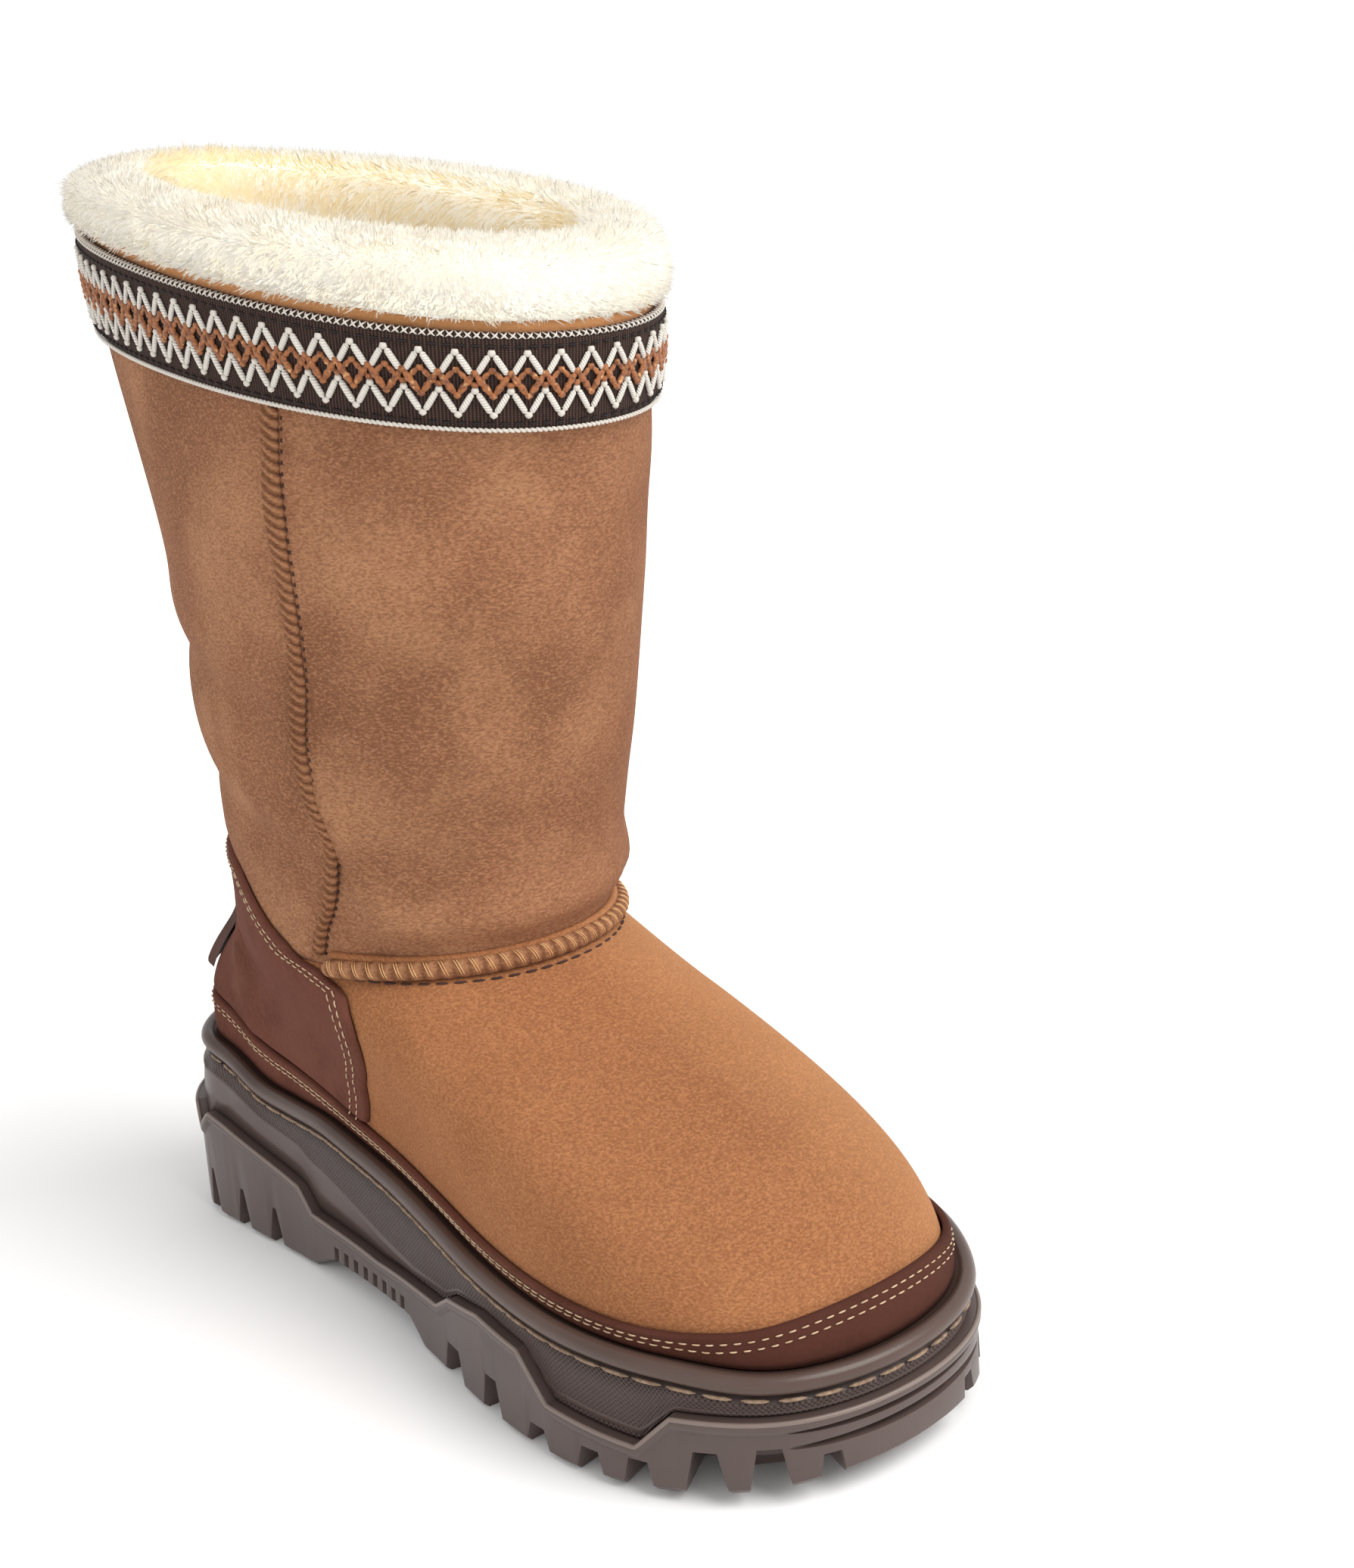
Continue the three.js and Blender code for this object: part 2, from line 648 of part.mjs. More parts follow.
// The foot part ends on the plane of the ankle seam, and the shaft stands just above it.
function vamp() {
  return wall(footPoint, FOOT_LEVELS, 0, -WALL, (p, share) => {
    if (share === 1) p.z = SEAM_HEIGHT;
    return p;
  });
}

function shaft() {
  return wall(shaftPoint, SHAFT_LEVELS, 0, -WALL, (p, share) => {
    if (share === 0) p.z = SEAM_HEIGHT + FIT_GAP;
    return p;
  });
}

// Share of the foot path where its height passes a value.
function footShareAt(round, z) {
  let low = 0;
  let high = 1;
  for (let i = 0; i < 24; i += 1) {
    const mid = (low + high) / 2;
    if (footPoint(round, mid).z < z) low = mid;
    else high = mid;
  }
  return (low + high) / 2;
}

const stripTop = (round) => weltPoint(round, UPPER_INSET, FLANGE_THICKNESS / 2).z
  + along(WELT, 'strip', lengthShare(round)) * FOXING_HEIGHT;

function foxing() {
  const loops = UPPER_PLACES.map((round) => {
    const top = footShareAt(round, stripTop(round));
    const shares = [0, top * 0.55, top * 0.8, top];
    const proud = [0, 0, RIM_ROLL, RIM_ROLL * 0.4];
    const outer = shares.map((share, i) => offPoint(footPoint, round, share,
      OVERLAY_GAP + OVERLAY + proud[i]));
    const inner = shares.map((share) => offPoint(footPoint, round, share, OVERLAY_GAP));
    outer[0].z = footPoint(round, 0).z;
    inner[0].z = outer[0].z;
    return outer.concat(inner.reverse());
  });
  return loopsToGeometry(loops, true);
}

// Height on the whole upper: below the seam ring it follows the foot part and above it the
// shaft.
function upperPoint(round, z, out) {
  const ring = shaftPoint(round, 0).z;
  if (z <= ring) return offPoint(footPoint, round, footShareAt(round, z), out);
  const top = shaftPoint(round, 1).z;
  return offPoint(shaftPoint, round, (z - ring) / (top - ring), out);
}

// Shell over the whole upper on the levels and places of its walls.
function upperShell(out) {
  return UPPER_PLACES.map((round) => {
    const low = FOOT_LEVELS.slice(0, -1).map((share) => offPoint(footPoint, round, share, out));
    const top = SHAFT_LEVELS.slice(1, 5).map((share) => offPoint(shaftPoint, round, share, out));
    const crease = offPoint(footPoint, round, 1, out).add(offPoint(shaftPoint, round, 0, out));
    return [...low, crease.multiplyScalar(0.5), ...top];
  });
}

// The counter is the part of a shell over the upper that lies inside its own edges.
function heelCounter() {
  const inner = upperShell(OVERLAY_GAP);
  const shell = upperShell(OVERLAY_GAP + OVERLAY).map((loop, i) => loop.concat(inner[i].reverse()));
  const reach = COUNTER[COUNTER.length - 1].at;
  const places = spread(-reach, reach, 26);
  const margin = 2 * OVERLAY;
  const edges = places.map((round) => {
    const edge = (column) => stepped(COUNTER, column, Math.abs(round)) * SEAM_HEIGHT;
    const low = Math.max(stripTop(round) + 2 * OVERLAY_GAP, edge('base'));
    const heights = spread(low, edge('top'), 6);
    const outer = heights.map((z) => upperPoint(round, z, OVERLAY_GAP + OVERLAY + margin));
    const under = heights.map((z) => upperPoint(round, z, OVERLAY_GAP - margin));
    return outer.concat(under.reverse());
  });
  const cutter = toSolid(loopsToGeometry(edges, false));
  return toGeometry(toSolid(loopsToGeometry(shell, true)).intersect(cutter));
}

function heelTab() {
  const half = Math.asin(TAB_WIDTH / (SHAFT[0].width * SHAFT_WIDTH)) / (2 * Math.PI);
  const under = 2 * OVERLAY_GAP + OVERLAY + FIT_GAP;
  const loops = spread(-half, half, 10).map((round) => {
    const heights = spread(TAB_BASE, TAB_BASE + TAB_LENGTH, 3);
    const outer = heights.map((z) => upperPoint(round, z, under + TAB_THICKNESS));
    const inner = heights.map((z) => upperPoint(round, z, under));
    return outer.concat(inner.reverse());
  });
  return loopsToGeometry(loops, false);
}

// Raised roll in the crease between vamp and shaft.
function vampSeam() {
  const end = SIDE_SEAM[0].round + 0.012;
  const corners = 8;
  const loops = spread(end, 1 - end, 22).map((round) => {
    const low = offPoint(footPoint, round, 1, 1).sub(footPoint(round, 1));
    const high = offPoint(shaftPoint, round, 0, 1).sub(shaftPoint(round, 0));
    const outward = low.add(high).normalize();
    const centre = shaftPoint(round, 0).addScaledVector(outward, ROLL_RADIUS * 1.15 + OVERLAY_GAP);
    const next = shaftPoint(round + 0.002, 0).sub(shaftPoint(round - 0.002, 0)).normalize();
    const side = outward.clone().cross(next).normalize();
    const loop = [];
    for (let i = 0; i < corners; i += 1) {
      const angle = (2 * Math.PI * (i + 0.5)) / corners;
      loop.push(centre.clone()
        .addScaledVector(outward, ROLL_RADIUS * Math.cos(angle))
        .addScaledVector(side, ROLL_RADIUS * Math.sin(angle)));
    }
    return loop;
  });
  return loopsToGeometry(loops, false);
}

// Half-round ridge up one side of the shaft.
function sideSeam(inner) {
  const section = [
    { across: -1, out: 0 },
    { across: -0.8, out: 0.7 },
    { across: -0.3, out: 1 },
    { across: 0.3, out: 1 },
    { across: 0.8, out: 0.7 },
    { across: 1, out: 0 },
  ];
  const foot = 0.03;
  const head = BAND_LOW - OVERLAY / SHAFT_TALL;
  const loops = spread(foot, head, 14).map((share) => {
    const place = stepped(SIDE_SEAM, 'round', share);
    const round = inner ? 1 - place : place;
    const half = SIDE_SEAM_WIDTH / 2 / (SHAFT_WIDTH * Math.PI);
    return section.map(({ across, out }) => offPoint(shaftPoint, round + across * half, share,
      2 * FIT_GAP + out * SIDE_SEAM_HEIGHT));
  });
  return loopsToGeometry(loops, false);
}

function trimBand() {
  return wall(shaftPoint, [BAND_LOW, BAND_HIGH], OVERLAY_GAP + BAND_THICKNESS, OVERLAY_GAP);
}

// Height of the fleece above the top edge, a little less at the back.
function fleeceRise(round, up) {
  return up * (FLEECE_HEIGHT - FLEECE_FALL * Math.cos(2 * Math.PI * round));
}

// Fleece roll in and above the top of the shaft, with locks joined on.
function fleeceCollar() {
  const loops = UPPER_PLACES.map((round, k) => FLEECE.map((row, i) => {
    const p = offPoint(shaftPoint, round, SHAFT_LEVELS[row.level], fleeceOut(row, k, i));
    p.z += fleeceRise(round, row.up) + (row.up > 0 ? 2 * FIT_GAP : 0);
    return p;
  }));
  let solid = toSolid(loopsToGeometry(loops, true));
  for (let i = 0; i < LOCK_COUNT; i += 1) solid = solid.add(fleeceLock(i));
  return toGeometry(solid);
}

// Offset of a fleece point from the shaft's outer face, with a soft lump along the roll.
function fleeceOut(row, k, i) {
  if (row.out === 0) return -WALL - FIT_GAP;
  const lump = Math.sin(k * 1.7 + i * 2.3) * 0.05;
  if (row.out > 0) return (row.out + lump) * FLEECE_BULGE;
  return -WALL + row.out * FLEECE_DEPTH * (1 + lump);
}

// Pointed tuft that stands on the crown of the roll.
function fleeceLock(i) {
  const round = (i * 0.618034) % 1;
  const row = FLEECE[6 + (i % 3)];
  const root = offPoint(shaftPoint, round, 1, fleeceOut(row, 0, 0));
  root.z += fleeceRise(round, row.up);
  const heart = offPoint(shaftPoint, round, 1, -WALL - FLEECE_DEPTH * 0.3);
  heart.z += fleeceRise(round, 0.4);
  const outward = root.clone().sub(heart).normalize();
  const tuft = new THREE.ConeGeometry(LOCK_RADIUS, LOCK_LENGTH * 2.6, 5, 1);
  const turn = new THREE.Quaternion().setFromUnitVectors(new THREE.Vector3(0, 1, 0), outward);
  tuft.applyQuaternion(turn);
  tuft.translate(root.x, root.y, root.z);
  return toSolid(tuft);
}

const rubber = { color: 0x5f5250, roughness: 0.55, metalness: 0 };
const suede = { color: 0xa9744c, roughness: 0.95, metalness: 0 };
const nubuck = { color: 0x5d3b30, roughness: 0.85, metalness: 0 };

const PIECES = [
  { name: 'outsole', build: outsole, look: rubber },
  { name: 'midsole', build: midsole, look: { ...rubber, color: 0x675957 } },
  { name: 'welt', build: welt, look: { ...rubber, color: 0x4d3d36, roughness: 0.4 } },
  { name: 'insole', build: insole, look: { color: 0xd9c59a, roughness: 1, metalness: 0 } },
  { name: 'vamp', build: vamp, look: { ...suede, color: 0xb97b4b } },
  { name: 'shaft', build: shaft, look: suede },
  { name: 'foxing', build: foxing, look: nubuck },
  { name: 'heel_counter', build: heelCounter, look: nubuck },
  { name: 'heel_tab', build: heelTab, look: { ...nubuck, color: 0x4c2f28 } },
  { name: 'vamp_seam', build: vampSeam, look: { ...suede, color: 0x9c6238 } },
  { name: 'side_seam_outer', build: () => sideSeam(false), look: { ...suede, color: 0x9c6238 } },
  { name: 'side_seam_inner', build: () => sideSeam(true), look: { ...suede, color: 0x9c6238 } },
  { name: 'trim_band', build: trimBand, look: { color: 0x2e211e, roughness: 0.9, metalness: 0 } },
  { name: 'fleece_collar', build: fleeceCollar, look: { color: 0xf3e7cc, roughness: 1, metalness: 0 } },
];

const boot = new THREE.Group();
for (const { name, build, look } of PIECES) {
  const mesh = new THREE.Mesh(build(), new THREE.MeshStandardMaterial(look));
  mesh.name = name;
  boot.add(mesh);
}

// The origin is the middle of the box that the boot fills, on the floor.
const centre = new THREE.Box3().setFromObject(boot).getCenter(new THREE.Vector3());
boot.position.set(-centre.x, -centre.y, 0);

export default boot;
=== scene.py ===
"""Looks of the right sheepskin boot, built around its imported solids. Lengths are in millimetres."""
import math

import bmesh
import bpy
import numpy as np
from mathutils import Matrix, Vector


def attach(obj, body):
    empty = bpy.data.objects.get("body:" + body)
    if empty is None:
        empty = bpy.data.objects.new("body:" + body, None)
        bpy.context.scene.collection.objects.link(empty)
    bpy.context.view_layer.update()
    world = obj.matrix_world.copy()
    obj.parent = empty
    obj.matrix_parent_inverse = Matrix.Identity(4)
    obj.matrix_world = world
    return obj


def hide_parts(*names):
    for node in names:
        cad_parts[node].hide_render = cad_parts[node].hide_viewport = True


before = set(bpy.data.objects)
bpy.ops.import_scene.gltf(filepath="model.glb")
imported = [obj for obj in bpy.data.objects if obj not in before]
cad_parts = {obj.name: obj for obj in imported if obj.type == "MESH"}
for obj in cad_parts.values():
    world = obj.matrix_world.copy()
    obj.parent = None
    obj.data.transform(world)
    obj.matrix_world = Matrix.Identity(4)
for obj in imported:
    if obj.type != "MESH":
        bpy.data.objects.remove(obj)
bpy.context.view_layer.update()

TAU = 2 * np.pi

# Sizes of the solids, and where the middle of the sole lies in the frame
ORIGIN = np.array([-3.4165, -5.992, 0.0])
SOLE_LENGTH = 280
BALL_WIDTH = 116
SOLE_HEIGHT = 56
TOE_SPRING = 6
ARCH_LIFT = 5.5
TREAD_BEVEL = 1.6
LIP_THICKNESS = 1.8
TRAY_WALL = 4.2
TRAY_HEIGHT = 11
BEAD_RADIUS = 3
BEAD_INSET = 2
STITCH_GROOVE = 1.4
MIDSOLE_INSET = 2.4
FLANGE = 3
UPPER_INSET = 7.6
HEEL_TUCK = 3.6
FIT_GAP = 0.3
OVERLAY_GAP = 0.5
OVERLAY = 1.6
WALL = 3
SEAM_HEIGHT = 97.5
SHAFT_TOP = 286.8
TOP_RISE = 20
TOP_SAG = 1.7
SHAFT_SHIFT = 4
SHAFT_DEPTH = 193
SHAFT_WIDTH = 121
SQUARENESS = 2.1
EGG = 0.05
FOXING_HEIGHT = 14
BAND_HEIGHT = 25
BAND_EDGE = 4.5
BAND_THICKNESS = 2
ROLL_RADIUS = 2.2
HEEL_PAD = 3.2
PUCKER_PITCH = 2.7
ANKLE_STITCH = 3.9
BAND_PITCH = 8.0
TAB_BASE, TAB_LENGTH, TAB_WIDTH, TAB_THICKNESS = 76, 21, 54, 2.4
FLEECE_HEIGHT = 13.5
FLEECE_FALL = 4.4
FLEECE_CORE = -11.0
TREAD_LUG = 9
TREAD_ROWS = 5

SHAFT_TALL = SHAFT_TOP - SEAM_HEIGHT
BAND_HIGH = (SHAFT_TALL - BAND_EDGE) / SHAFT_TALL
BAND_LOW = (SHAFT_TALL - BAND_EDGE - BAND_HEIGHT) / SHAFT_TALL

# Stitch rows: their distance from the edge, and for the foxing the most of its height
FOXING_ROWS = ((2.0, 0.3), (3.7, 0.54))
COUNTER_ROWS = (2.0, 3.9)

# Share of the length, outer and inner half width
OUTLINE = np.array([
    (0.0, 0.785, 0.785), (0.08, 0.672, 0.655), (0.15, 0.532, 0.522), (0.25, 0.43, 0.413),
    (0.35, 0.395, 0.388), (0.45, 0.395, 0.405), (0.55, 0.432, 0.45), (0.65, 0.497, 0.505),
    (0.75, 0.57, 0.565), (0.85, 0.65, 0.64), (0.93, 0.722, 0.722), (1.0, 0.84, 0.84)])
# Share of the length, bead height, foxing height, tuck
WELT = np.array([
    (0.0, 1.0, 1.0, 1), (0.1, 0.97, 0.95, 0.9), (0.16, 0.915, 0.9, 0.7), (0.21, 0.845, 0.84, 0.45),
    (0.27, 0.83, 0.72, 0.2), (0.34, 0.83, 0.5, 0.05), (0.4, 0.79, 0.42, 0), (0.5, 0.735, 0.36, 0),
    (0.6, 0.68, 0.36, 0), (0.75, 0.61, 0.38, 0), (0.88, 0.58, 0.4, 0), (0.95, 0.535, 0.6, 0),
    (1.0, 0.525, 0.82, 0)])
LIP = np.array([
    (0.0, 0.66), (0.08, 0.63), (0.092, 0.51), (0.115, 0.61), (0.165, 0.56), (0.285, 0.435),
    (0.308, 0.32), (0.44, 0.29), (0.57, 0.335), (0.6, 0.43), (0.66, 0.48), (0.725, 0.45),
    (0.763, 0.26), (0.862, 0.23), (0.893, 0.395), (1.0, 0.39)])
# Share of the length, spring and arch
TREAD = np.array([
    (0.0, 0.45, 0), (0.1, 0.1, 0), (0.13, 0, 0), (0.295, 0, 0), (0.335, 0, 1), (0.5, 0, 1),
    (0.53, 0, 0), (0.78, 0, 0), (0.88, 0.32, 0), (0.95, 0.62, 0), (1.0, 1, 0)])
# Share of the length, root, mouth and rise of each notch
NOTCHES = (
    (0.03, 0.08, 0.3, 0.6), (0.105, 0.06, 0.3, 0.66), (0.165, 0.08, 0.36, 0.6),
    (0.228, 0.08, 0.36, 0.56), (0.597, 0.3, 0.56, 0.46), (0.672, 0.24, 0.46, 0.5),
    (0.745, 0.24, 0.46, 0.3), (0.812, 0.24, 0.42, 0.32), (0.862, 0.24, 0.4, 0.34),
    (0.917, 0.26, 0.5, 0.5), (0.958, 0.26, 0.46, 0.5), (0.985, 0.2, 0.3, 0.3))
NOTCH_DEPTH = 22
FACET = np.array([(0.0, 0.86, 1), (0.3, 0.6, 1), (0.5, 0.14, 0.8), (0.56, 0.1, 0), (1.0, 0.1, 0)])
FACET_PROUD = 1.1
TOE_GROOVES = (0.335, 0.265)
# Place round the foot, rise, lean, reach and drop
FOOT = np.array([
    (0.0, 0.27, 0.03, 0.02, 0.13), (0.12, 0.27, 0.03, 0.03, 0.14), (0.25, 0.26, 0.03, 0.2, 0.16),
    (0.36, 0.27, 0.03, 0.46, 0.2), (0.5, 0.26, 0.04, 0.58, 0.26)])
# Level, depth, width, centre and egg
SHAFT = np.array([
    (0.0, 0.594, 0.78, 0.176, 0.3), (0.06, 0.608, 0.8, 0.172, 0.3), (0.28, 0.688, 0.885, 0.165, 0.5),
    (0.56, 0.805, 0.94, 0.164, 0.8), (0.72, 0.888, 0.955, 0.174, 0.9),
    (0.85, 0.965, 0.962, 0.184, 1), (1.0, 1, 1, 0.182, 1)])
# Place round the foot, lower and upper edge
COUNTER = np.array([
    (0.0, 0.3, 1.3), (0.08, 0.3, 1.29), (0.14, 0.3, 1.265), (0.19, 0.3, 1.235),
    (0.214, 0.4, 1.147), (0.222, 0.54, 1.12), (0.234, 0.67, 1.085), (0.25, 0.75, 1.05),
    (0.267, 0.828, 1.015), (0.285, 0.9, 0.98), (0.295, 0.935, 0.955)])
SIDE_SEAM = np.array([
    (0.0, 0.29), (0.06, 0.299), (0.1, 0.31), (0.16, 0.318), (0.205, 0.321), (0.275, 0.311),
    (0.355, 0.308), (0.46, 0.314), (0.7, 0.314), (0.86, 0.321)])


# The curves and surfaces that the solids follow

def curve(table, column, at):
    """Smooth curve through one column of a table."""
    x, y = table[:, 0], table[:, column]
    t = np.clip(at, x[0], x[-1])
    i = np.clip(np.searchsorted(x, t, side="right") - 1, 0, len(x) - 2)
    low = np.maximum(np.arange(len(x)) - 1, 0)
    high = np.minimum(np.arange(len(x)) + 1, len(x) - 1)
    slope = (y[high] - y[low]) / (x[high] - x[low])
    span = x[i + 1] - x[i]
    f = (t - x[i]) / span
    return ((2 * f**3 - 3 * f**2 + 1) * y[i] + (f**3 - 2 * f**2 + f) * span * slope[i]
            + (3 * f**2 - 2 * f**3) * y[i + 1] + (f**3 - f**2) * span * slope[i + 1])


def stepped(table, column, at):
    return np.interp(at, table[:, 0], table[:, column])


def unit(v):
    return v / np.maximum(np.linalg.norm(v, axis=-1, keepdims=True), 1e-9)


def run_of(path):
    """Length along a path up to each of its points."""
    return np.concatenate([[0], np.cumsum(np.linalg.norm(np.diff(path, axis=0), axis=1))])


def length_share(place):
    return (1 - np.cos(TAU * place)) / 2


def place_at(share):
    return np.arccos(1 - 2 * share) / TAU


def outline(place):
    share = length_share(place)
    side = np.sin(TAU * place)
    half = np.where(side > 0, curve(OUTLINE, 1, share), curve(OUTLINE, 2, share)) * BALL_WIDTH
    return np.stack([-side * half, (0.5 - share) * SOLE_LENGTH], -1)


def outline_normal(place):
    a, b = outline(place - 0.002), outline(place + 0.002)
    n = np.stack([b[..., 1] - a[..., 1], a[..., 0] - b[..., 0]], -1)
    return unit(n)


def own_share(p):
    return np.clip(0.5 - p[..., 1] / SOLE_LENGTH, 0, 1)


def sole_point(place, inset, z):
    p = outline(place) - outline_normal(place) * np.asarray(inset)[..., None]
    return np.concatenate([p, np.broadcast_to(np.asarray(z, float), p.shape[:-1])[..., None]], -1)


def tuck_in(share):
    return curve(WELT, 3, share) * HEEL_TUCK


def bead_height(share):
    return curve(WELT, 1, share) * SOLE_HEIGHT


def lip_height(share):
    return stepped(LIP, 1, share) * SOLE_HEIGHT


def tread_height(share):
    return stepped(TREAD, 1, share) * TOE_SPRING + stepped(TREAD, 2, share) * ARCH_LIFT


def groove_height(share):
    return bead_height(share) - BEAD_RADIUS - STITCH_GROOVE


def welt_point(place, inset, above):
    p = sole_point(place, inset + tuck_in(length_share(place)), 0)
    p[..., 2] = bead_height(own_share(p)) + above
    return p


def shaft_point(place, level):
    place, level = np.broadcast_arrays(place, level)
    power = 2 / SQUARENESS
    c, s = np.cos(TAU * place), np.sin(TAU * place)
    back = np.sign(c) * np.abs(c) ** power
    out = np.sign(s) * np.abs(s) ** power
    y = back * curve(SHAFT, 1, level) * SHAFT_DEPTH / 2
    taper = 1 - EGG * curve(SHAFT, 4, level) * back
    x = SHAFT_SHIFT - out * taper * curve(SHAFT, 2, level) * SHAFT_WIDTH / 2
    high = SHAFT_TOP + TOP_RISE * back - TOP_SAG * back * back
    z = SEAM_HEIGHT + (high - SEAM_HEIGHT) * level
    return np.stack([x, y + curve(SHAFT, 3, level) * SOLE_LENGTH, z], -1)


def foot_point(place, level):
    place, level = np.broadcast_arrays(place, level)
    near = np.abs(((place + 0.5) % 1 + 1) % 1 - 0.5)
    low = welt_point(place, UPPER_INSET, FLANGE / 2 + FIT_GAP)
    high = shaft_point(place, np.zeros_like(place))
    reach = unit(low[..., :2] - high[..., :2])
    first, second = low.copy(), high.copy()
    first[..., :2] += outline_normal(place) * (curve(FOOT, 2, near) * SEAM_HEIGHT)[..., None]
    first[..., 2] += curve(FOOT, 1, near) * SEAM_HEIGHT
    second[..., :2] += reach * (curve(FOOT, 3, near) * SEAM_HEIGHT)[..., None]
    second[..., 2] -= curve(FOOT, 4, near) * SEAM_HEIGHT
    t = level[..., None]
    return (low * (1 - t)**3 + first * 3 * t * (1 - t)**2 + second * 3 * t**2 * (1 - t) + high * t**3)


def surface_normal(surface, place, level):
    place, level = np.broadcast_arrays(place, level)
    across = surface(place + 0.004, level) - surface(place - 0.004, level)
    upward = surface(place, np.minimum(level + 0.004, 1)) - surface(place, np.maximum(level - 0.004, 0))
    return unit(np.cross(across, upward))


def off(surface, place, level, out):
    place, level, out = np.broadcast_arrays(place, level, out)
    return surface(place, level) + surface_normal(surface, place, level) * out[..., None]


def foot_level_at(place, z):
    low, high = np.zeros_like(z), np.ones_like(z)
    for _ in range(24):
        mid = (low + high) / 2
        under = foot_point(place, mid)[..., 2] < z
        low, high = np.where(under, mid, low), np.where(under, high, mid)
    return (low + high) / 2


def upper_point(place, z, out):
    """Point off the whole upper at a height: the foot part below the ankle seam, the shaft above."""
    place, z, out = np.broadcast_arrays(place, np.asarray(z, float), out)
    side = np.mod(place + 0.5, 1) - 0.5
    out = out + HEEL_PAD * np.exp(-(side / 0.18) ** 4 - ((z - SEAM_HEIGHT + 3) / 17) ** 2)
    foot = off(foot_point, place, foot_level_at(place, np.minimum(z, SEAM_HEIGHT)), out)
    top = shaft_point(place, np.ones_like(z))[..., 2]
    leg = off(shaft_point, place, np.maximum(z - SEAM_HEIGHT, 0) / (top - SEAM_HEIGHT), out)
    mix = np.clip((z - SEAM_HEIGHT + 4) / 8, 0, 1)[..., None]
    return foot * (1 - mix) + leg * mix


def strip_top(place):
    return (welt_point(place, UPPER_INSET, FLANGE / 2)[..., 2]
            + curve(WELT, 2, length_share(place)) * FOXING_HEIGHT)


# Meshes

def placed(name, data):
    obj = bpy.data.objects.new(name, data)
    bpy.context.scene.collection.objects.link(obj)
    return obj


def new_object(name, points, faces, looks, indices=None, uv=None):
    """One piece. Its points are in millimetres, as the sizes are, and so is its uv."""
    mesh = bpy.data.meshes.new(name)
    mesh.from_pydata(((np.asarray(points).reshape(-1, 3) + ORIGIN) / 1000).tolist(), [], faces)
    for look in looks if isinstance(looks, tuple) else (looks,):
        mesh.materials.append(look.material)
    if indices is not None:
        mesh.polygons.foreach_set("material_index", np.asarray(indices, dtype=np.int32))
    if uv is not None:
        layer = mesh.uv_layers.new(name="UVMap")
        loops = np.empty(len(mesh.loops), dtype=np.int32)
        mesh.loops.foreach_get("vertex_index", loops)
        layer.data.foreach_set("uv", (np.asarray(uv).reshape(-1, 2)[loops] / 1000).ravel())
    mesh.polygons.foreach_set("use_smooth", [True] * len(mesh.polygons))
    mesh.validate()
    mesh.update()
    obj = placed(name, mesh)
    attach(obj, "root")
    return obj


def uv_grid(across, down):
    return np.stack(np.broadcast_arrays(across, down), -1)


def grid_faces(rows, columns, wrap):
    """Faces between rings of points. With wrap, the last ring is joined to the first."""
    r, c = np.meshgrid(np.arange(rows if wrap else rows - 1), np.arange(columns), indexing="ij")
    r2, c2 = (r + 1) % rows, (c + 1) % columns
    quads = np.stack([r * columns + c, r * columns + c2, r2 * columns + c2, r2 * columns + c], -1)
    return quads.reshape(-1, 4)


def outward(obj):
    """Turns the faces of a closed mesh outward."""
    bm = bmesh.new()
    bm.from_mesh(obj.data)
    bmesh.ops.recalc_face_normals(bm, faces=bm.faces)
    bm.to_mesh(obj.data)
    bm.free()
    return obj


def ring_solid(name, loops, looks, indices=None, uv=None, closed=True):
    """Solid through loops of points, rows round the foot and columns round the section."""
    rows, columns = loops.shape[:2]
    faces = grid_faces(rows, columns, closed).tolist()
    if not closed:
        faces.append(list(range(columns))[::-1])
        faces.append([(rows - 1) * columns + i for i in range(columns)])
    return outward(new_object(name, loops, faces, looks, indices, uv))


def tube(paths, radius, sides=6, closed=False, flat=1.0, ups=(0, 0, 1.0)):
    """Points and faces of tubes along paths of equal length, with tapered ends unless closed."""
    paths = np.asarray(paths, float)
    count, steps = paths.shape[:2]
    ahead = unit(np.roll(paths, -1, 1) - np.roll(paths, 1, 1) if closed else np.gradient(paths, axis=1))
    side = unit(np.cross(ahead, np.broadcast_to(ups, paths.shape)))
    up = np.cross(side, ahead)
    angle = np.arange(sides) / sides * TAU
    size = np.broadcast_to(np.asarray(radius, float), paths.shape[:2]).copy()
    if not closed:
        size[:, [0, -1]] *= 0.35
    ring = (side[:, :, None] * np.cos(angle)[:, None]
            + up[:, :, None] * np.sin(angle)[:, None] * flat) * size[:, :, None, None]
    one = grid_faces(steps, sides, closed)
    faces = (one[None] + (np.arange(count) * steps * sides)[:, None, None]).reshape(-1, 4).tolist()
    if not closed:
        for base in range(0, count * steps * sides, steps * sides):
            faces.append([base + i for i in range(sides)][::-1])
            faces.append([base + (steps - 1) * sides + i for i in range(sides)])
    return (paths[:, :, None] + ring).reshape(-1, 3), faces


def joined(parts):
    points, faces, base = [], [], 0
    for p, f in parts:
        points.append(np.asarray(p))
        faces += [[v + base for v in face] for face in f]
        base += len(p)
    return np.concatenate(points), faces


def along_path(path, spacing, closed=False):
    """Places evenly spaced by length on a path, as fractional indices."""
    run = run_of(np.concatenate([path, path[:1]]) if closed else path)
    count = max(2, int(round(run[-1] / spacing)))
    at = np.arange(count) / count * run[-1] if closed else np.linspace(0, run[-1], count)
    return np.interp(at, run, np.arange(len(run)))


def sample(path, index, closed=False):
    path = np.concatenate([path, path[:1]]) if closed else path
    index = np.mod(index, len(path) - 1) if closed else np.clip(index, 0, len(path) - 1)
    return np.stack([np.interp(index, np.arange(len(path)), path[:, k]) for k in range(path.shape[1])], -1)


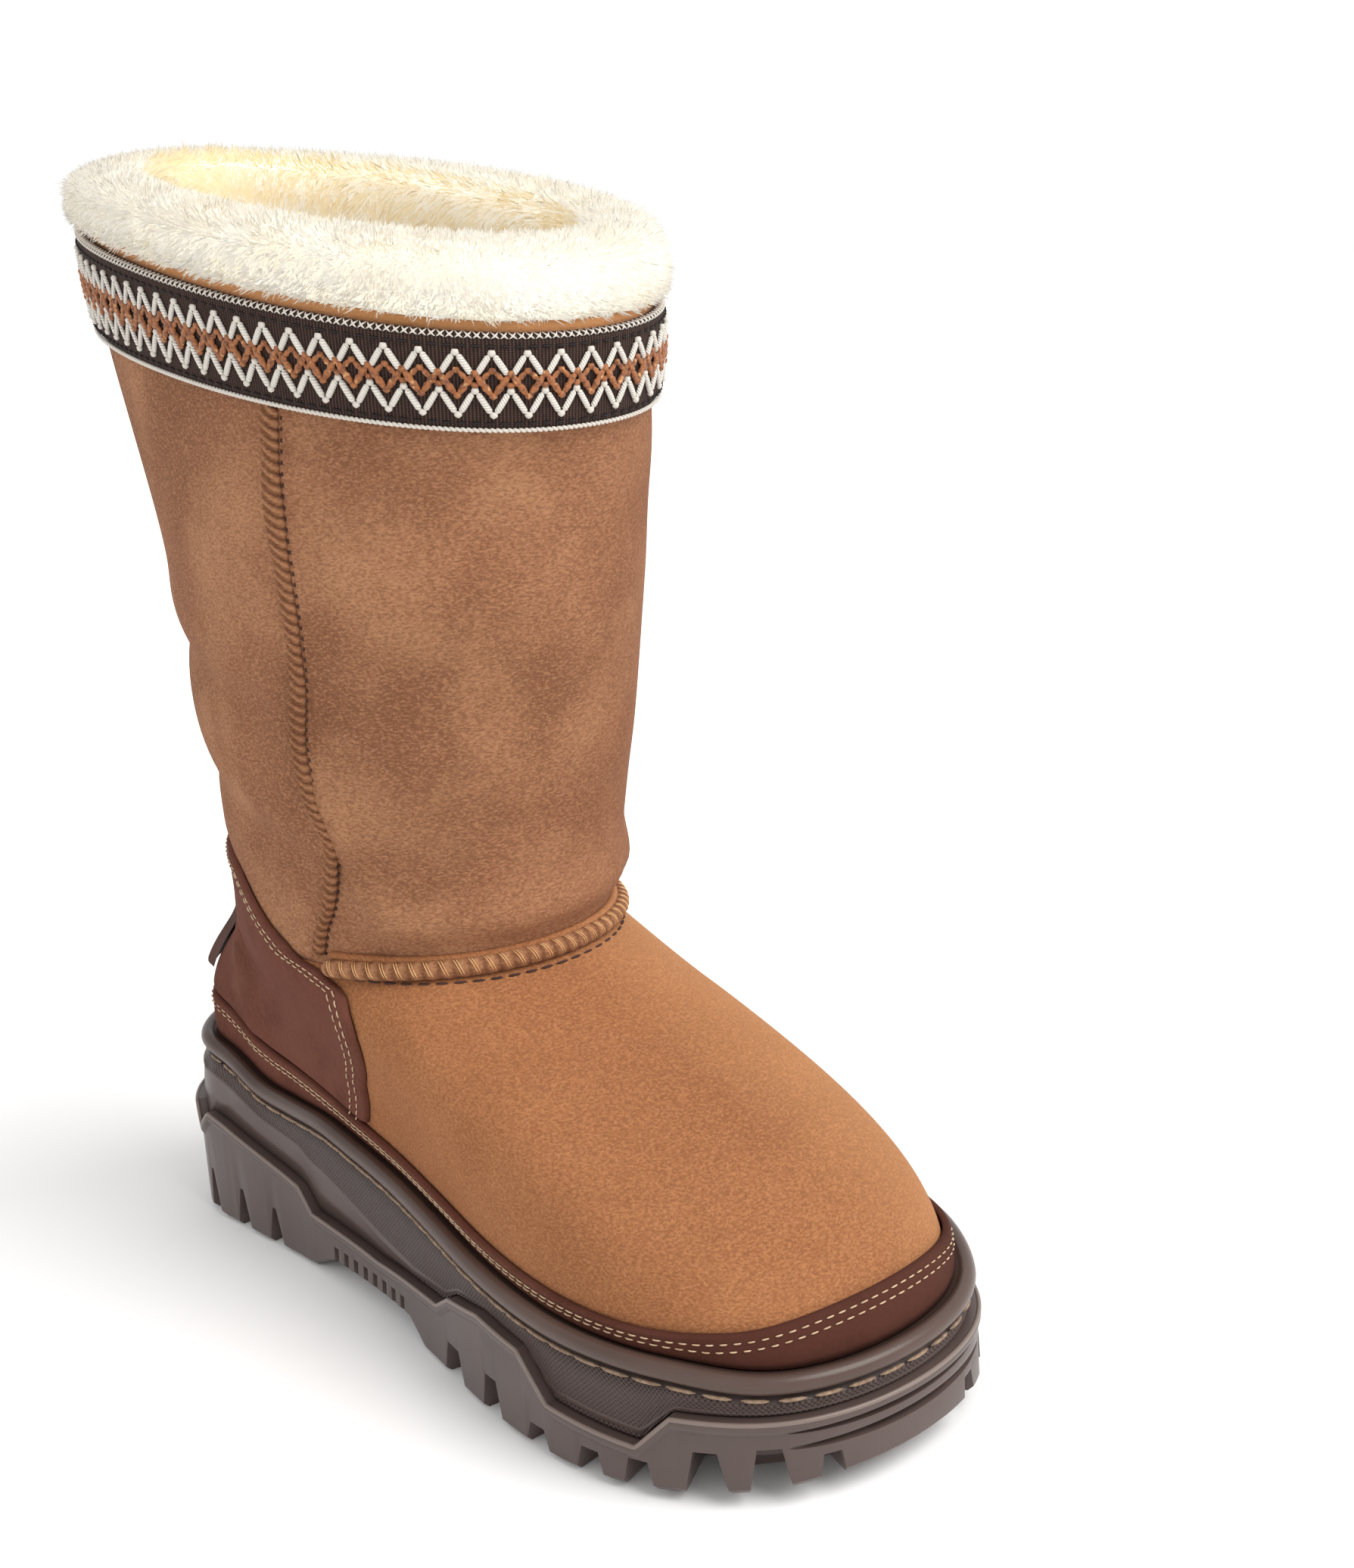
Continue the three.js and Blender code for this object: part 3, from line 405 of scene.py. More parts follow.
def stitches(path, normals, pitch, length, radius, lift, closed=False):
    """Short rounded stitches along a path, sunk at both ends."""
    at = along_path(path, pitch, closed)
    half = length / 2 / np.linalg.norm(np.diff(path, axis=0), axis=1).mean()
    s = np.linspace(-1, 1, 6)
    index = (at[:, None] + s * half).ravel()
    base, up = (sample(v, index, closed).reshape(len(at), 6, 3) for v in (path, normals))
    up = unit(up)
    return tube(base + up * ((1 - s**2)[:, None] * radius * 0.9 + lift * radius), radius, ups=up)


# Materials

def srgb(code):
    value = [int(code[i:i + 2], 16) / 255 for i in (0, 2, 4)]
    return [v / 12.92 if v <= 0.04045 else ((v + 0.055) / 1.055) ** 2.4 for v in value] + [1.0]


def add_node(tree, kind, sockets, **settings):
    """Outputs of a new node, whose sockets are set to a value or linked to another node's output."""
    node = tree.nodes.new(kind)
    for key, value in settings.items():
        setattr(node, key, value)
    for key, value in sockets.items():
        if isinstance(value, bpy.types.NodeSocket):
            tree.links.new(value, node.inputs[key])
        else:
            node.inputs[key].default_value = value
    return node.outputs


class Look:
    """A node material in the making. Places are in metres, heights of relief in millimetres."""

    def __init__(self, name, color, roughness, **sockets):
        self.material = bpy.data.materials.new(name)
        self.material.use_nodes = True
        self.tree = self.material.node_tree
        self.shader = self.tree.nodes["Principled BSDF"]
        for key, value in dict(sockets, Base_Color=srgb(color), Roughness=roughness).items():
            self.shader.inputs[key.replace("_", " ")].default_value = value
        coords = self.add("ShaderNodeTexCoord", {})
        self.place, self.uv = coords["Object"], coords["UV"]

    def add(self, kind, sockets, **settings):
        return add_node(self.tree, kind, sockets, **settings)

    def stretched(self, source, scale, turn=(0, 0, 0)):
        return self.add("ShaderNodeMapping", {
            "Scale": scale, "Rotation": turn, "Vector": source})["Vector"]

    def noise(self, scale, detail=3, rough=0.55, source=None, distortion=0.0):
        return self.add("ShaderNodeTexNoise", {
            "Scale": scale, "Detail": detail, "Roughness": rough, "Distortion": distortion,
            "Vector": source or self.place})["Fac"]

    def wave(self, source, direction="X", scale=1.0):
        return self.add("ShaderNodeTexWave", {"Scale": scale, "Vector": source},
                        bands_direction=direction)["Fac"]

    def ramp(self, source, low, high, to_low=0.0, to_high=1.0):
        return self.add("ShaderNodeMapRange", {
            "Value": source, "From Min": low, "From Max": high, "To Min": to_low, "To Max": to_high},
            clamp=True)["Result"]

    def times(self, a, b):
        return self.add("ShaderNodeMath", {0: a, 1: b}, operation="MULTIPLY")[0]

    def axis(self, source, name):
        return self.add("ShaderNodeSeparateXYZ", {0: source})[name]

    def tint(self, factor, color, strength):
        """Mixes the colour so far with another one."""
        socket = self.shader.inputs["Base Color"]
        so_far = socket.links[0].from_socket if socket.is_linked else socket.default_value
        mixed = self.add("ShaderNodeMix", {
            "A": so_far, "B": srgb(color), "Factor": self.times(factor, strength)}, data_type="RGBA")
        self.tree.links.new(mixed["Result"], socket)
        return self

    def patches(self, scale, detail, low, high, color, strength, rough=0.55):
        """Tints where a noise lies high."""
        return self.tint(self.ramp(self.noise(scale, detail, rough), low, high), color, strength)

    def fading(self, source, axis, low, high, color, strength, to_low=0.0, to_high=1.0):
        """Tints more and more along an axis."""
        return self.tint(self.ramp(self.axis(source, axis), low, high, to_low, to_high), color, strength)

    def bump(self, height, distance, strength=1.0):
        sockets = {"Distance": distance / 1000, "Strength": strength, "Height": height}
        normal = self.shader.inputs["Normal"]
        if normal.is_linked:
            sockets["Normal"] = normal.links[0].from_socket
        self.tree.links.new(self.add("ShaderNodeBump", sockets)["Normal"], normal)
        return self

    def grain(self, scale, detail, distance, strength=1.0, rough=0.55):
        """Relief of a fine noise."""
        return self.bump(self.noise(scale, detail, rough), distance, strength)


def suede(name, base, light, dark, blotch=1.0, grain=1.0, fine=820):
    look = Look(name, base, 0.95, Sheen_Weight=0.1, Sheen_Roughness=0.6, Sheen_Tint=srgb(light),
                Specular_IOR_Level=0.2)
    look.tint(look.ramp(look.noise(13, 4, 0.5, distortion=0.2), 0.42, 0.66), dark, 0.62 * blotch)
    look.tint(look.ramp(look.noise(30, 4, distortion=0.2), 0.44, 0.7), light, 0.66 * blotch)
    nap = look.noise(fine, 4, 0.75, look.stretched(look.place, (1, 1, 2.3), (0.12, 0.08, 0)))
    look.tint(look.ramp(nap, 0.38, 0.54, 1, 0), dark, 0.58 * grain)
    look.tint(look.ramp(nap, 0.5, 0.64), light, 0.58 * grain)
    return look.grain(1500, 3, 0.12 * grain, 0.8, 0.7).bump(nap, 0.3 * grain, 0.8)


def nubuck_look(name):
    look = Look(name, "633b31", 0.95, Specular_IOR_Level=0.12)
    look.patches(26, 4, 0.45, 0.7, "6d473a", 0.7).patches(60, 4, 0.5, 0.75, "43261b", 0.5)
    return look.patches(800, 4, 0.45, 0.7, "754a38", 0.45, 0.7).grain(1100, 4, 0.15, 0.7, 0.7)


def rubber(name, base, worn, roughness):
    look = Look(name, base, roughness, Specular_IOR_Level=0.4)
    return look.patches(22, 4, 0.45, 0.75, worn, 0.55).grain(1500, 3, 0.05, 0.6)


def wool(name, base, warm, root):
    """Colour of the pile: soft patches, single paler and darker fibres, and roots that are warmer in tone
    and darker as painted shade.
    """
    look = Look(name, base, 1.0, Specular_IOR_Level=0.1)
    look.patches(50, 5, 0.45, 0.68, warm, 0.55).patches(900, 3, 0.5, 0.7, root, 0.12)
    # Each fibre grows warmer towards its root, and darker there as painted shade.
    look.fading(look.uv, "Y", 0.2, 0.7, root, 0.2, 1, 0)
    color = look.shader.inputs["Base Color"].links[0].from_socket
    through = look.add("ShaderNodeBsdfTranslucent", {"Color": color})
    both = look.add("ShaderNodeMixShader", {
        "Fac": 0.45, 1: look.shader.outputs["BSDF"], 2: through["BSDF"]})
    look.tree.links.new(both["Shader"], look.tree.nodes["Material Output"].inputs["Surface"])
    return look


shaft_suede = suede("suede_shaft", "8f6146", "b1825f", "65402b")
shaft_suede.fading(shaft_suede.uv, "Y", 0.972, 0.982, "b98353", 0.8)
# Painted shade: the shaft grows darker towards its inner side, x 0 to 45 mm, as if the other boot of the
# pair shaded it.
shaft_suede.fading(shaft_suede.place, "X", 0.0, 0.045, "6e422b", 0.5)
vamp_suede = suede("suede_vamp", "9a6541", "b57d54", "784b30", blotch=0.5, grain=1.1, fine=1050)
# Painted light: the vamp grows lighter towards its inner side, x 0 to 50 mm, where the key light falls.
vamp_suede.fading(vamp_suede.place, "X", 0.0, 0.05, "cf9a6a", 0.42)
seam_suede = suede("suede_seam", "8c5e41", "ab7c5a", "684229", blotch=0.5)
puckers = seam_suede.wave(seam_suede.uv, scale=314 / PUCKER_PITCH)
across = seam_suede.ramp(seam_suede.axis(seam_suede.uv, "Y"), -0.0014, 0.0012, 0.25, 1)
# Painted highlight on the crests of the puckers, and painted shade in their creases, strongest towards the
# front of the seam.
seam_suede.tint(seam_suede.ramp(puckers, 0.55, 1.0), "b78a67", 0.35)
seam_suede.tint(seam_suede.times(seam_suede.ramp(puckers, 0.0, 0.35, 1, 0), across), "43261a", 0.7)
lining = Look("lining_pile", "ecd9b0", 1.0, Sheen_Weight=0.2)
lining.patches(160, 5, 0.35, 0.7, "dcc492", 0.6).grain(420, 6, 1.5, rough=0.7)

nubuck = nubuck_look("nubuck_brown")
strip_nubuck = nubuck_look("nubuck_strip")
strip_nubuck.fading(strip_nubuck.place, "Y", -0.12, -0.04, "3a1f18", 0.68, 1, 0)
tab_leather = Look("leather_tab", "4c2f27", 0.6, Specular_IOR_Level=0.4)
tab_leather.patches(90, 4, 0.45, 0.75, "5b3b30", 0.8).grain(1400, 3, 0.08, 0.7)

sole_rubber = rubber("rubber_sole", "50423e", "5e504b", 0.34)
knurl_rubber = rubber("rubber_knurl", "503f3b", "5c4a45", 0.46)
weave = knurl_rubber.times(*(
    knurl_rubber.wave(knurl_rubber.stretched(knurl_rubber.uv, (330, 330, 1), (0, 0, turn)))
    for turn in (0.85, -0.85)))
# Painted shade: the knurl is darker in the hollows of its weave.
knurl_rubber.bump(weave, 0.45).tint(knurl_rubber.ramp(weave, 0.1, 0.5, 1, 0), "453a37", 0.55)
bead_rubber = rubber("rubber_bead", "4c3a33", "59463f", 0.3)
# Painted highlight: the rim is a glossier rubber, and its lighter colour stands for the shine along the
# lip's upper edge.
rim_highlight_rubber = rubber("rubber_rim_painted_highlight", "75665f", "83746b", 0.28)
cord_brown = Look("cord_brown", "7c6452", 0.8).patches(600, 3, 0.4, 0.7, "b59b80", 0.6)
thread_cream = Look("thread_cream", "c9ad8d", 0.75).patches(500, 3, 0.4, 0.7, "8d6a4c", 0.5)
thread_gold = Look("thread_gold", "c08e5c", 0.7).patches(500, 3, 0.4, 0.7, "dfb884", 0.6)
# Dark marks of painted shade: the holes along the side seams, and the stitches under the ankle seam roll.
shadow_thread = Look("thread_dark_painted_shade", "3a211a", 0.85).grain(900, 3, 0.1)

tape = Look("tape_dark", "2a1d19", 0.9, Specular_IOR_Level=0.2)
ribs = tape.wave(tape.stretched(tape.uv, (370, 1, 1)))
picks = tape.wave(tape.stretched(tape.uv, (1, 520, 1)), "Y")
tape.bump(tape.times(ribs, picks), 0.25).tint(tape.ramp(ribs, 0.35, 0.9), "4d3a33", 0.6)
tape.tint(tape.ramp(tape.times(ribs, picks), 0.3, 0.9), "6b564c", 0.7)
tape.patches(300, 3, 0.55, 0.8, "120a09", 0.5)
yarn_white = Look("yarn_white", "e6e0d6", 0.8, Sheen_Weight=0.1)
strands = yarn_white.wave(yarn_white.stretched(yarn_white.uv, (900, 500, 1)), "DIAGONAL")
# Painted shade: the yarn is greyer in the grooves between its strands.
yarn_white.bump(strands, 0.25).tint(yarn_white.ramp(strands, 0.0, 0.5, 1, 0), "a89f95", 0.5)
yarn_copper = Look("yarn_copper", "9a5c2e", 0.6, Sheen_Weight=0.1).grain(1500, 2, 0.3)
# Painted shade and painted glints: random dark flecks stand for shade in the gaps of the chain, bright
# flecks for its glints.
yarn_copper.patches(900, 2, 0.45, 0.65, "552c17", 0.8).patches(700, 2, 0.6, 0.75, "dfab76", 0.8)
yarn_black = Look("yarn_black", "150d0c", 0.85).grain(900, 3, 0.1)

pile_base = Look("pile_base", "f4ecdc", 1.0, Specular_IOR_Level=0.1, Subsurface_Weight=0.4,
                 Subsurface_Radius=(0.004, 0.003, 0.002), Subsurface_Scale=1.0)
pile_base.patches(70, 5, 0.4, 0.7, "ecdcb8", 0.6).grain(500, 5, 0.6, 0.6, 0.7)
pile_ivory = wool("pile_ivory", "f9f6ee", "f6eedd", "efe4cd")
pile_cream = wool("pile_cream", "f7e9c9", "f2dcad", "e9cd95")

# Creases of the upper: depth, half width, then the place and height of each point
SHAFT_CREASES = (
    (-1.5, 5, (0.08, 190), (0.16, 180), (0.27, 170)), (0.9, 7, (0.09, 200), (0.25, 184)),
    (0.8, 7, (0.1, 172), (0.24, 160)), (-1.5, 5, (0.12, 150), (0.2, 140), (0.285, 130)),
    (0.9, 6, (0.15, 160), (0.28, 141)), (0.7, 6, (0.16, 128), (0.28, 119)),
    (-1.5, 4, (0.335, 103), (0.42, 102), (0.5, 101.5), (0.58, 102), (0.66, 103)),
    (2.4, 7, (0.35, 114), (0.42, 111), (0.5, 110), (0.58, 111), (0.65, 114)),
    (1.2, 6, (0.325, 146), (0.345, 122), (0.37, 111)), (-1.1, 5, (0.325, 126), (0.34, 112), (0.35, 105)),
    (-0.9, 11, (0.37, 176), (0.44, 168), (0.52, 164)), (0.7, 12, (0.38, 196), (0.47, 204)),
    (-0.8, 10, (0.42, 138), (0.52, 132), (0.6, 138)), (-0.7, 9, (0.2, 238), (0.29, 226)),
    (-0.7, 12, (0.36, 232), (0.45, 226)), (0.7, 12, (0.52, 214), (0.64, 236)),
    (-1.4, 6, (0.73, 176), (0.82, 188), (0.9, 192)), (-1.3, 5, (0.71, 134), (0.86, 148)),
    (1.1, 6, (0.675, 142), (0.655, 122), (0.635, 112)))
VAMP_CREASES = (
    (-0.7, 4, (0.35, 86), (0.42, 84), (0.5, 83), (0.58, 84), (0.65, 86)), (-0.6, 6, (0.3, 62), (0.36, 78)))
ROUND_MM = 430
ANKLE_ROUND = 330


def crease_field(creases, place, z):
    """Troughs and ridges at a distance from lines drawn on the unrolled upper."""
    field = np.zeros(np.broadcast(place, z).shape)
    px = np.mod(place, 1) * ROUND_MM
    for depth, width, *points in creases:
        nearest = np.full(field.shape, 1e9)
        for (a, za), (b, zb) in zip(points, points[1:]):
            dx, dz = (b - a) * ROUND_MM, zb - za
            t = np.clip(((px - a * ROUND_MM) * dx + (z - za) * dz) / (dx * dx + dz * dz), 0, 1)
            nearest = np.minimum(nearest, (px - a * ROUND_MM - t * dx) ** 2 + (z - za - t * dz) ** 2)
        field += depth * np.exp(-nearest / width**2)
    return field


def soft_waves(place, z, amount, seed):
    """Slow unevenness of the suede."""
    rng = np.random.default_rng(seed)
    field = 0
    for _ in range(9):
        turns = rng.integers(1, 7)
        rate = rng.uniform(0.01, 0.07)
        phase, lean = rng.uniform(0, TAU, 2)
        field = field + np.sin(TAU * turns * place + rate * z + phase + 0.6 * np.sin(lean + 0.03 * z))
    return field * amount / 4


# The upper

ROUND = np.arange(300) / 300


def build_wall(name, surface, rings, skin, creases, amount, flat, seed):
    """Hollow wall of the upper, creased outside, with its end at the ankle seam cut level."""
    levels = np.linspace(0, 1, rings)
    inner_levels = levels[::4][::-1]
    place = ROUND[:, None]
    z = surface(place, levels[None])[..., 2]
    fade = np.clip(levels / 0.06, 0, 1) * np.clip((1 - levels) / 0.04, 0, 1)
    push = (crease_field(creases, place, z) + soft_waves(place, z, amount, seed)) * fade
    outer = off(surface, place, levels, push)
    inner = off(surface, place, inner_levels, -WALL)
    if flat == "top":
        outer[:, -1, 2] = inner[:, 0, 2] = SEAM_HEIGHT
    else:
        outer[:, 0, 2] = inner[:, -1, 2] = SEAM_HEIGHT + FIT_GAP
    loops = np.concatenate([outer, inner], 1)
    index = np.zeros(loops.shape[:2], int)
    index[:, len(levels):-1] = 1
    uv = uv_grid(place * ROUND_MM, np.concatenate([levels, inner_levels]) * 1000)
    return ring_solid(name, loops, (skin, lining), index.ravel(), uv)


shaft_skin = build_wall("shaft_skin", shaft_point, 85, shaft_suede, SHAFT_CREASES, 0.5, "bottom", 3)
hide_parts("shaft")
vamp_skin = build_wall("vamp_skin", foot_point, 65, vamp_suede, VAMP_CREASES, 0.22, "top", 5)
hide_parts("vamp")


def build_foxing():
    """Strip round the foot above the welt, with two rows of stitches."""
    top = foot_level_at(ROUND, strip_top(ROUND))[:, None]
    share = np.array([0, 0.2, 0.4, 0.58, 0.72, 0.84, 0.9, 0.95, 0.98, 1.0])
    proud = np.array([0, 0, 0, 0, 0.1, 0.3, 0.35, 0.15, -0.3, -1.0])
    outer = off(foot_point, ROUND[:, None], top * share, OVERLAY_GAP + OVERLAY + proud)
    inner = off(foot_point, ROUND[:, None], top * share[::-3], OVERLAY_GAP)
    bottom = foot_point(ROUND, 0.0)
    outer[:, 0, 2] = inner[:, -1, 2] = bottom[:, 2]
    obj = ring_solid("foxing_strip", np.concatenate([outer, inner], 1), strip_nubuck)
    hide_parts("foxing")
    rows = []
    tall = np.linalg.norm(foot_point(ROUND, top[:, 0]) - bottom, axis=-1)
    for down, most in FOXING_ROWS:
        level = top[:, 0] * (1 - np.minimum(down / tall, most))
        lift = np.interp(level / top[:, 0], share, proud)
        path = off(foot_point, ROUND, level, OVERLAY_GAP + OVERLAY + lift)
        normal = surface_normal(foot_point, ROUND, level)
        rows.append(stitches(path, normal, 3.2, 2.4, 0.2, 0.5, closed=True))
    thread = new_object("foxing_stitches", *joined(rows), thread_cream)


build_foxing()


def rounded(distance, size):
    """Share of the full thickness at a distance from an edge."""
    t = np.clip(distance / size, 0, 1)
    return np.sqrt(1 - (1 - t) ** 2)


def panel(name, place, z, out, under, look):
    """Solid on the upper, between two distances from it."""
    outer, inner = (upper_point(place[:, None], z, v) for v in (out, under))
    return ring_solid(name, np.concatenate([outer, inner[:, ::-1]], 1), look, closed=False)


def counter_edge(place, column):
    return stepped(COUNTER, column, np.abs(place)) * SEAM_HEIGHT


def build_counter():
    """Overlay at the heel, with two rows of stitches inside its upper and front edges."""
    reach = COUNTER[-1, 0]
    bend = np.linspace(-1, 1, 170)
    place = reach * np.sign(bend) * (1 - (1 - np.abs(bend)) ** 1.35)
    low = np.maximum(strip_top(place) + 2 * OVERLAY_GAP, counter_edge(place, 1))[:, None]
    high = counter_edge(place, 2)[:, None]
    share = (1 - np.cos(np.linspace(0, np.pi, 36))) / 2
    z = low + (high - low) * share
    edge = np.minimum(z - low, high - z)
    side = ((reach - np.abs(place)) * ROUND_MM)[:, None]
    thick = OVERLAY * rounded(np.minimum(edge, side), 1.8)
    obj = panel("counter_panel", place, z, OVERLAY_GAP + thick, OVERLAY_GAP * 0.9, nubuck)
    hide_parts("heel_counter")
    rows = []
    along = np.linspace(0.002, reach, 600)
    edge = np.concatenate([np.stack([p * ROUND_MM, counter_edge(p, column)], 1)
                           for p, column in ((along, 2), (along[along > 0.19][::-1], 1))])
    edge = sample(edge, along_path(edge, 0.4))
    ahead = unit(np.gradient(edge, axis=0))
    for inset in COUNTER_ROWS:
        row = edge + np.stack([ahead[:, 1], -ahead[:, 0]], 1) * inset
        apart = np.linalg.norm(row[:, None] - edge[None], axis=-1).min(1)
        row = row[apart > inset * 0.97]
        row = row[row[:, 1] > strip_top(row[:, 0] / ROUND_MM) + 1.2]
        row = sample(row, along_path(row, 1.2))
        for sign in (1, -1):
            p, z = row[:, 0] / ROUND_MM * sign, row[:, 1]
            path = upper_point(p, z, OVERLAY_GAP + OVERLAY)
            lift = upper_point(p, z, OVERLAY_GAP + OVERLAY + 1) - path
            even = along_path(path, 0.8)
            rows.append(stitches(sample(path, even), sample(lift, even), 2.8, 2.1, 0.21, 0.5))
    thread = new_object("counter_stitches", *joined(rows), thread_cream)


build_counter()


def build_tab():
    half = math.asin(TAB_WIDTH / (SHAFT[0, 2] * SHAFT_WIDTH)) / TAU
    place = np.linspace(-half, half, 60)
    z = TAB_BASE + TAB_LENGTH * (1 - np.cos(np.linspace(0, np.pi, 26))) / 2
    under = 2 * OVERLAY_GAP + OVERLAY + FIT_GAP
    side = (half - np.abs(place)) * ANKLE_ROUND
    edge = np.minimum(np.minimum(z - z[0], z[-1] - z), side[:, None])
    proud = TAB_THICKNESS * rounded(edge, 1.5)
    obj = panel("heel_tab_flap", place, z[None], under + proud, under, tab_leather)
    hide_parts("heel_tab")


build_tab()


def build_vamp_seam():
    """Roll over the ankle seam, whipped with double thread, its folded lip and its stitched seat, whose
    dark stitches also paint the shade under the roll.
    """
    end = SIDE_SEAM[0, 1] + 0.012
    place = np.linspace(end, 1 - end, 420)
    out = unit(surface_normal(foot_point, place, 1.0) + surface_normal(shaft_point, place, 0.0))
    fade = rounded(np.minimum(place - end, 1 - end - place) * ROUND_MM, 5)
    centre = shaft_point(place, 0.0) + out * (ROLL_RADIUS * 1.15 + OVERLAY_GAP)
    run = run_of(centre)
    radius = ROLL_RADIUS * (0.96 + 0.07 * np.abs(np.sin(np.pi * run / 5))) * (0.25 + 0.75 * fade)
    points, faces = tube(centre[None], radius[None] * 1.12, sides=14, ups=out[None])
    wavy = 0.4 * np.sin(np.arange(14) / 14 * TAU)
    uv = uv_grid((run * PUCKER_PITCH / ANKLE_STITCH)[:, None] + wavy, 0.0)
    roll = new_object("vamp_seam_roll", points, faces, seam_suede, uv=uv)
    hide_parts("vamp_seam")
    ahead = unit(np.gradient(centre, axis=0))
    side = np.cross(out, ahead)
    side *= np.sign(side[:, 2:3])
    angle = np.linspace(-0.95, 1.1, 9)[:, None]
    slant = np.linspace(1.1, -1.1, 9)[:, None]
    paths = []
    for index in along_path(centre, ANKLE_STITCH)[1:-1]:
        c, o, s, a = (sample(v, np.array([index]))[0] for v in (centre, out, side, ahead))
        for shift in (-0.36, 0.36):
            r = ROLL_RADIUS * 1.12 + 0.08
            paths.append(c + (o * np.cos(angle) + s * np.sin(angle)) * r + a * (slant + shift))
    thread = new_object("vamp_seam_thread", *tube(paths, 0.17), thread_gold)
    lip = off(shaft_point, place, 3.9 / SHAFT_TALL, 0.35)
    lip = tube(lip[None], (1.35 * (0.3 + 0.7 * fade))[None], sides=10, ups=out[None])
    fold = new_object("vamp_seam_lip", *lip, vamp_suede)
    under = off(foot_point, place, 1 - 0.031 - 0.01 * np.abs(np.cos(np.pi * place)), 0.12)
    # Stitches along the seat, darkened as painted shade under the roll.
    under = stitches(under[8:-8], out[8:-8], 4.6, 3.6, 0.34, -0.1)
    seat = new_object("vamp_seam_seat", *under, shadow_thread)


build_vamp_seam()


def build_side_seam(name, inner, node):
    """Narrow raised cord with slanting puckers, and a row of holes along its front, drawn as dark sunk
    stitches of painted shade.
    """
    foot, head = 0.02, BAND_LOW + 0.01
    level = np.linspace(foot, head, 620)
    place = curve(SIDE_SEAM, 1, level)
    front = -1 if inner else 1
    place = 1 - place if inner else place
    run = run_of(shaft_point(place, level))
    across = np.array([-1, -0.9, -0.72, -0.48, -0.2, 0.1, 0.4, 0.68, 0.88, 1, 0.5, 0, -0.5])
    rise = np.array([0.0, 0.4, 0.72, 0.92, 1.0, 1.0, 0.94, 0.74, 0.4, 0.0, 0, 0, 0])
    pucker = np.abs(np.sin(np.pi * (run[:, None] / PUCKER_PITCH + across * 0.62))) ** 0.6
    slow = 1 + 0.1 * np.sin(run / 9.0)[:, None] + 0.07 * np.sin(run / 3.9 + 1)[:, None]
    slow = slow * (1 - 0.55 * np.clip((level - head + 0.025) / 0.02, 0, 1)[:, None])
    half = 2.05 * (0.88 + 0.12 * pucker) * slow
    tall = 2.7 * (0.62 + 0.38 * pucker) * slow
    loops = off(shaft_point, place[:, None] + front * across * half / (SHAFT_WIDTH * np.pi),
                level[:, None], 0.1 + rise * tall)
    uv = uv_grid(run[:, None] + (across * 0.62 + 0.25) * PUCKER_PITCH, across * 2.5)
    seam = ring_solid(name, loops, seam_suede, uv=uv, closed=False)
    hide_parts(node)
    path = off(shaft_point, place + front * 2.4 / (SHAFT_WIDTH * np.pi), level, 0.1)
    # Dark sunk stitches in the colour of painted shade stand for the holes.
    holes = stitches(path, surface_normal(shaft_point, place, level), PUCKER_PITCH, 1.0, 0.34, -0.35)
    holes = new_object(name + "_holes", *holes, shadow_thread)


build_side_seam("side_seam_outer_roll", False, "side_seam_outer")
build_side_seam("side_seam_inner_roll", True, "side_seam_inner")


# Trim band and its cords

BAND_OUT = OVERLAY_GAP + BAND_THICKNESS
def band_level(down):
    """Level on the shaft at a share of the band's height from its top edge."""
    return BAND_HIGH + (BAND_LOW - BAND_HIGH) * np.asarray(down, float)


BAND_PLACE = np.append(np.arange(1440) / 1440, 1.0)
BAND_RUN = run_of(shaft_point(BAND_PLACE % 1, band_level(0.5)))
PITCH_COUNT = int(round(BAND_RUN[-1] / BAND_PITCH))


def band_place(turn):
    """Place round the leg, with turns counted in pitches of equal length."""
    return np.interp(np.mod(turn, PITCH_COUNT) / PITCH_COUNT * BAND_RUN[-1], BAND_RUN, BAND_PLACE)


def band_point(turn, down, out):
    """Point on the band: turn in pitches round the leg, down the band, out from its face."""
    return off(shaft_point, band_place(turn), band_level(down), BAND_OUT + out)


def build_band():
    down = np.array([0, 0.025, 0.05, 0.1, 0.3, 0.5, 0.7, 0.9, 0.96, 0.99, 1.0])
    proud = np.array([-1.9, -0.8, -0.2, 0, 0, 0, 0, 0, -0.05, -0.4, -1.2])
    turn = np.arange(PITCH_COUNT * 6)[:, None] / 6
    outer = band_point(turn, down, proud)
    inner = band_point(turn, down[::-5], -BAND_THICKNESS)
    uv = uv_grid(turn * BAND_RUN[-1] / PITCH_COUNT, np.concatenate([down, down[::-5]]) * BAND_HEIGHT)
    obj = ring_solid("trim_tape", np.concatenate([outer, inner], 1), tape, uv=uv)
    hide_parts("trim_band")


build_band()


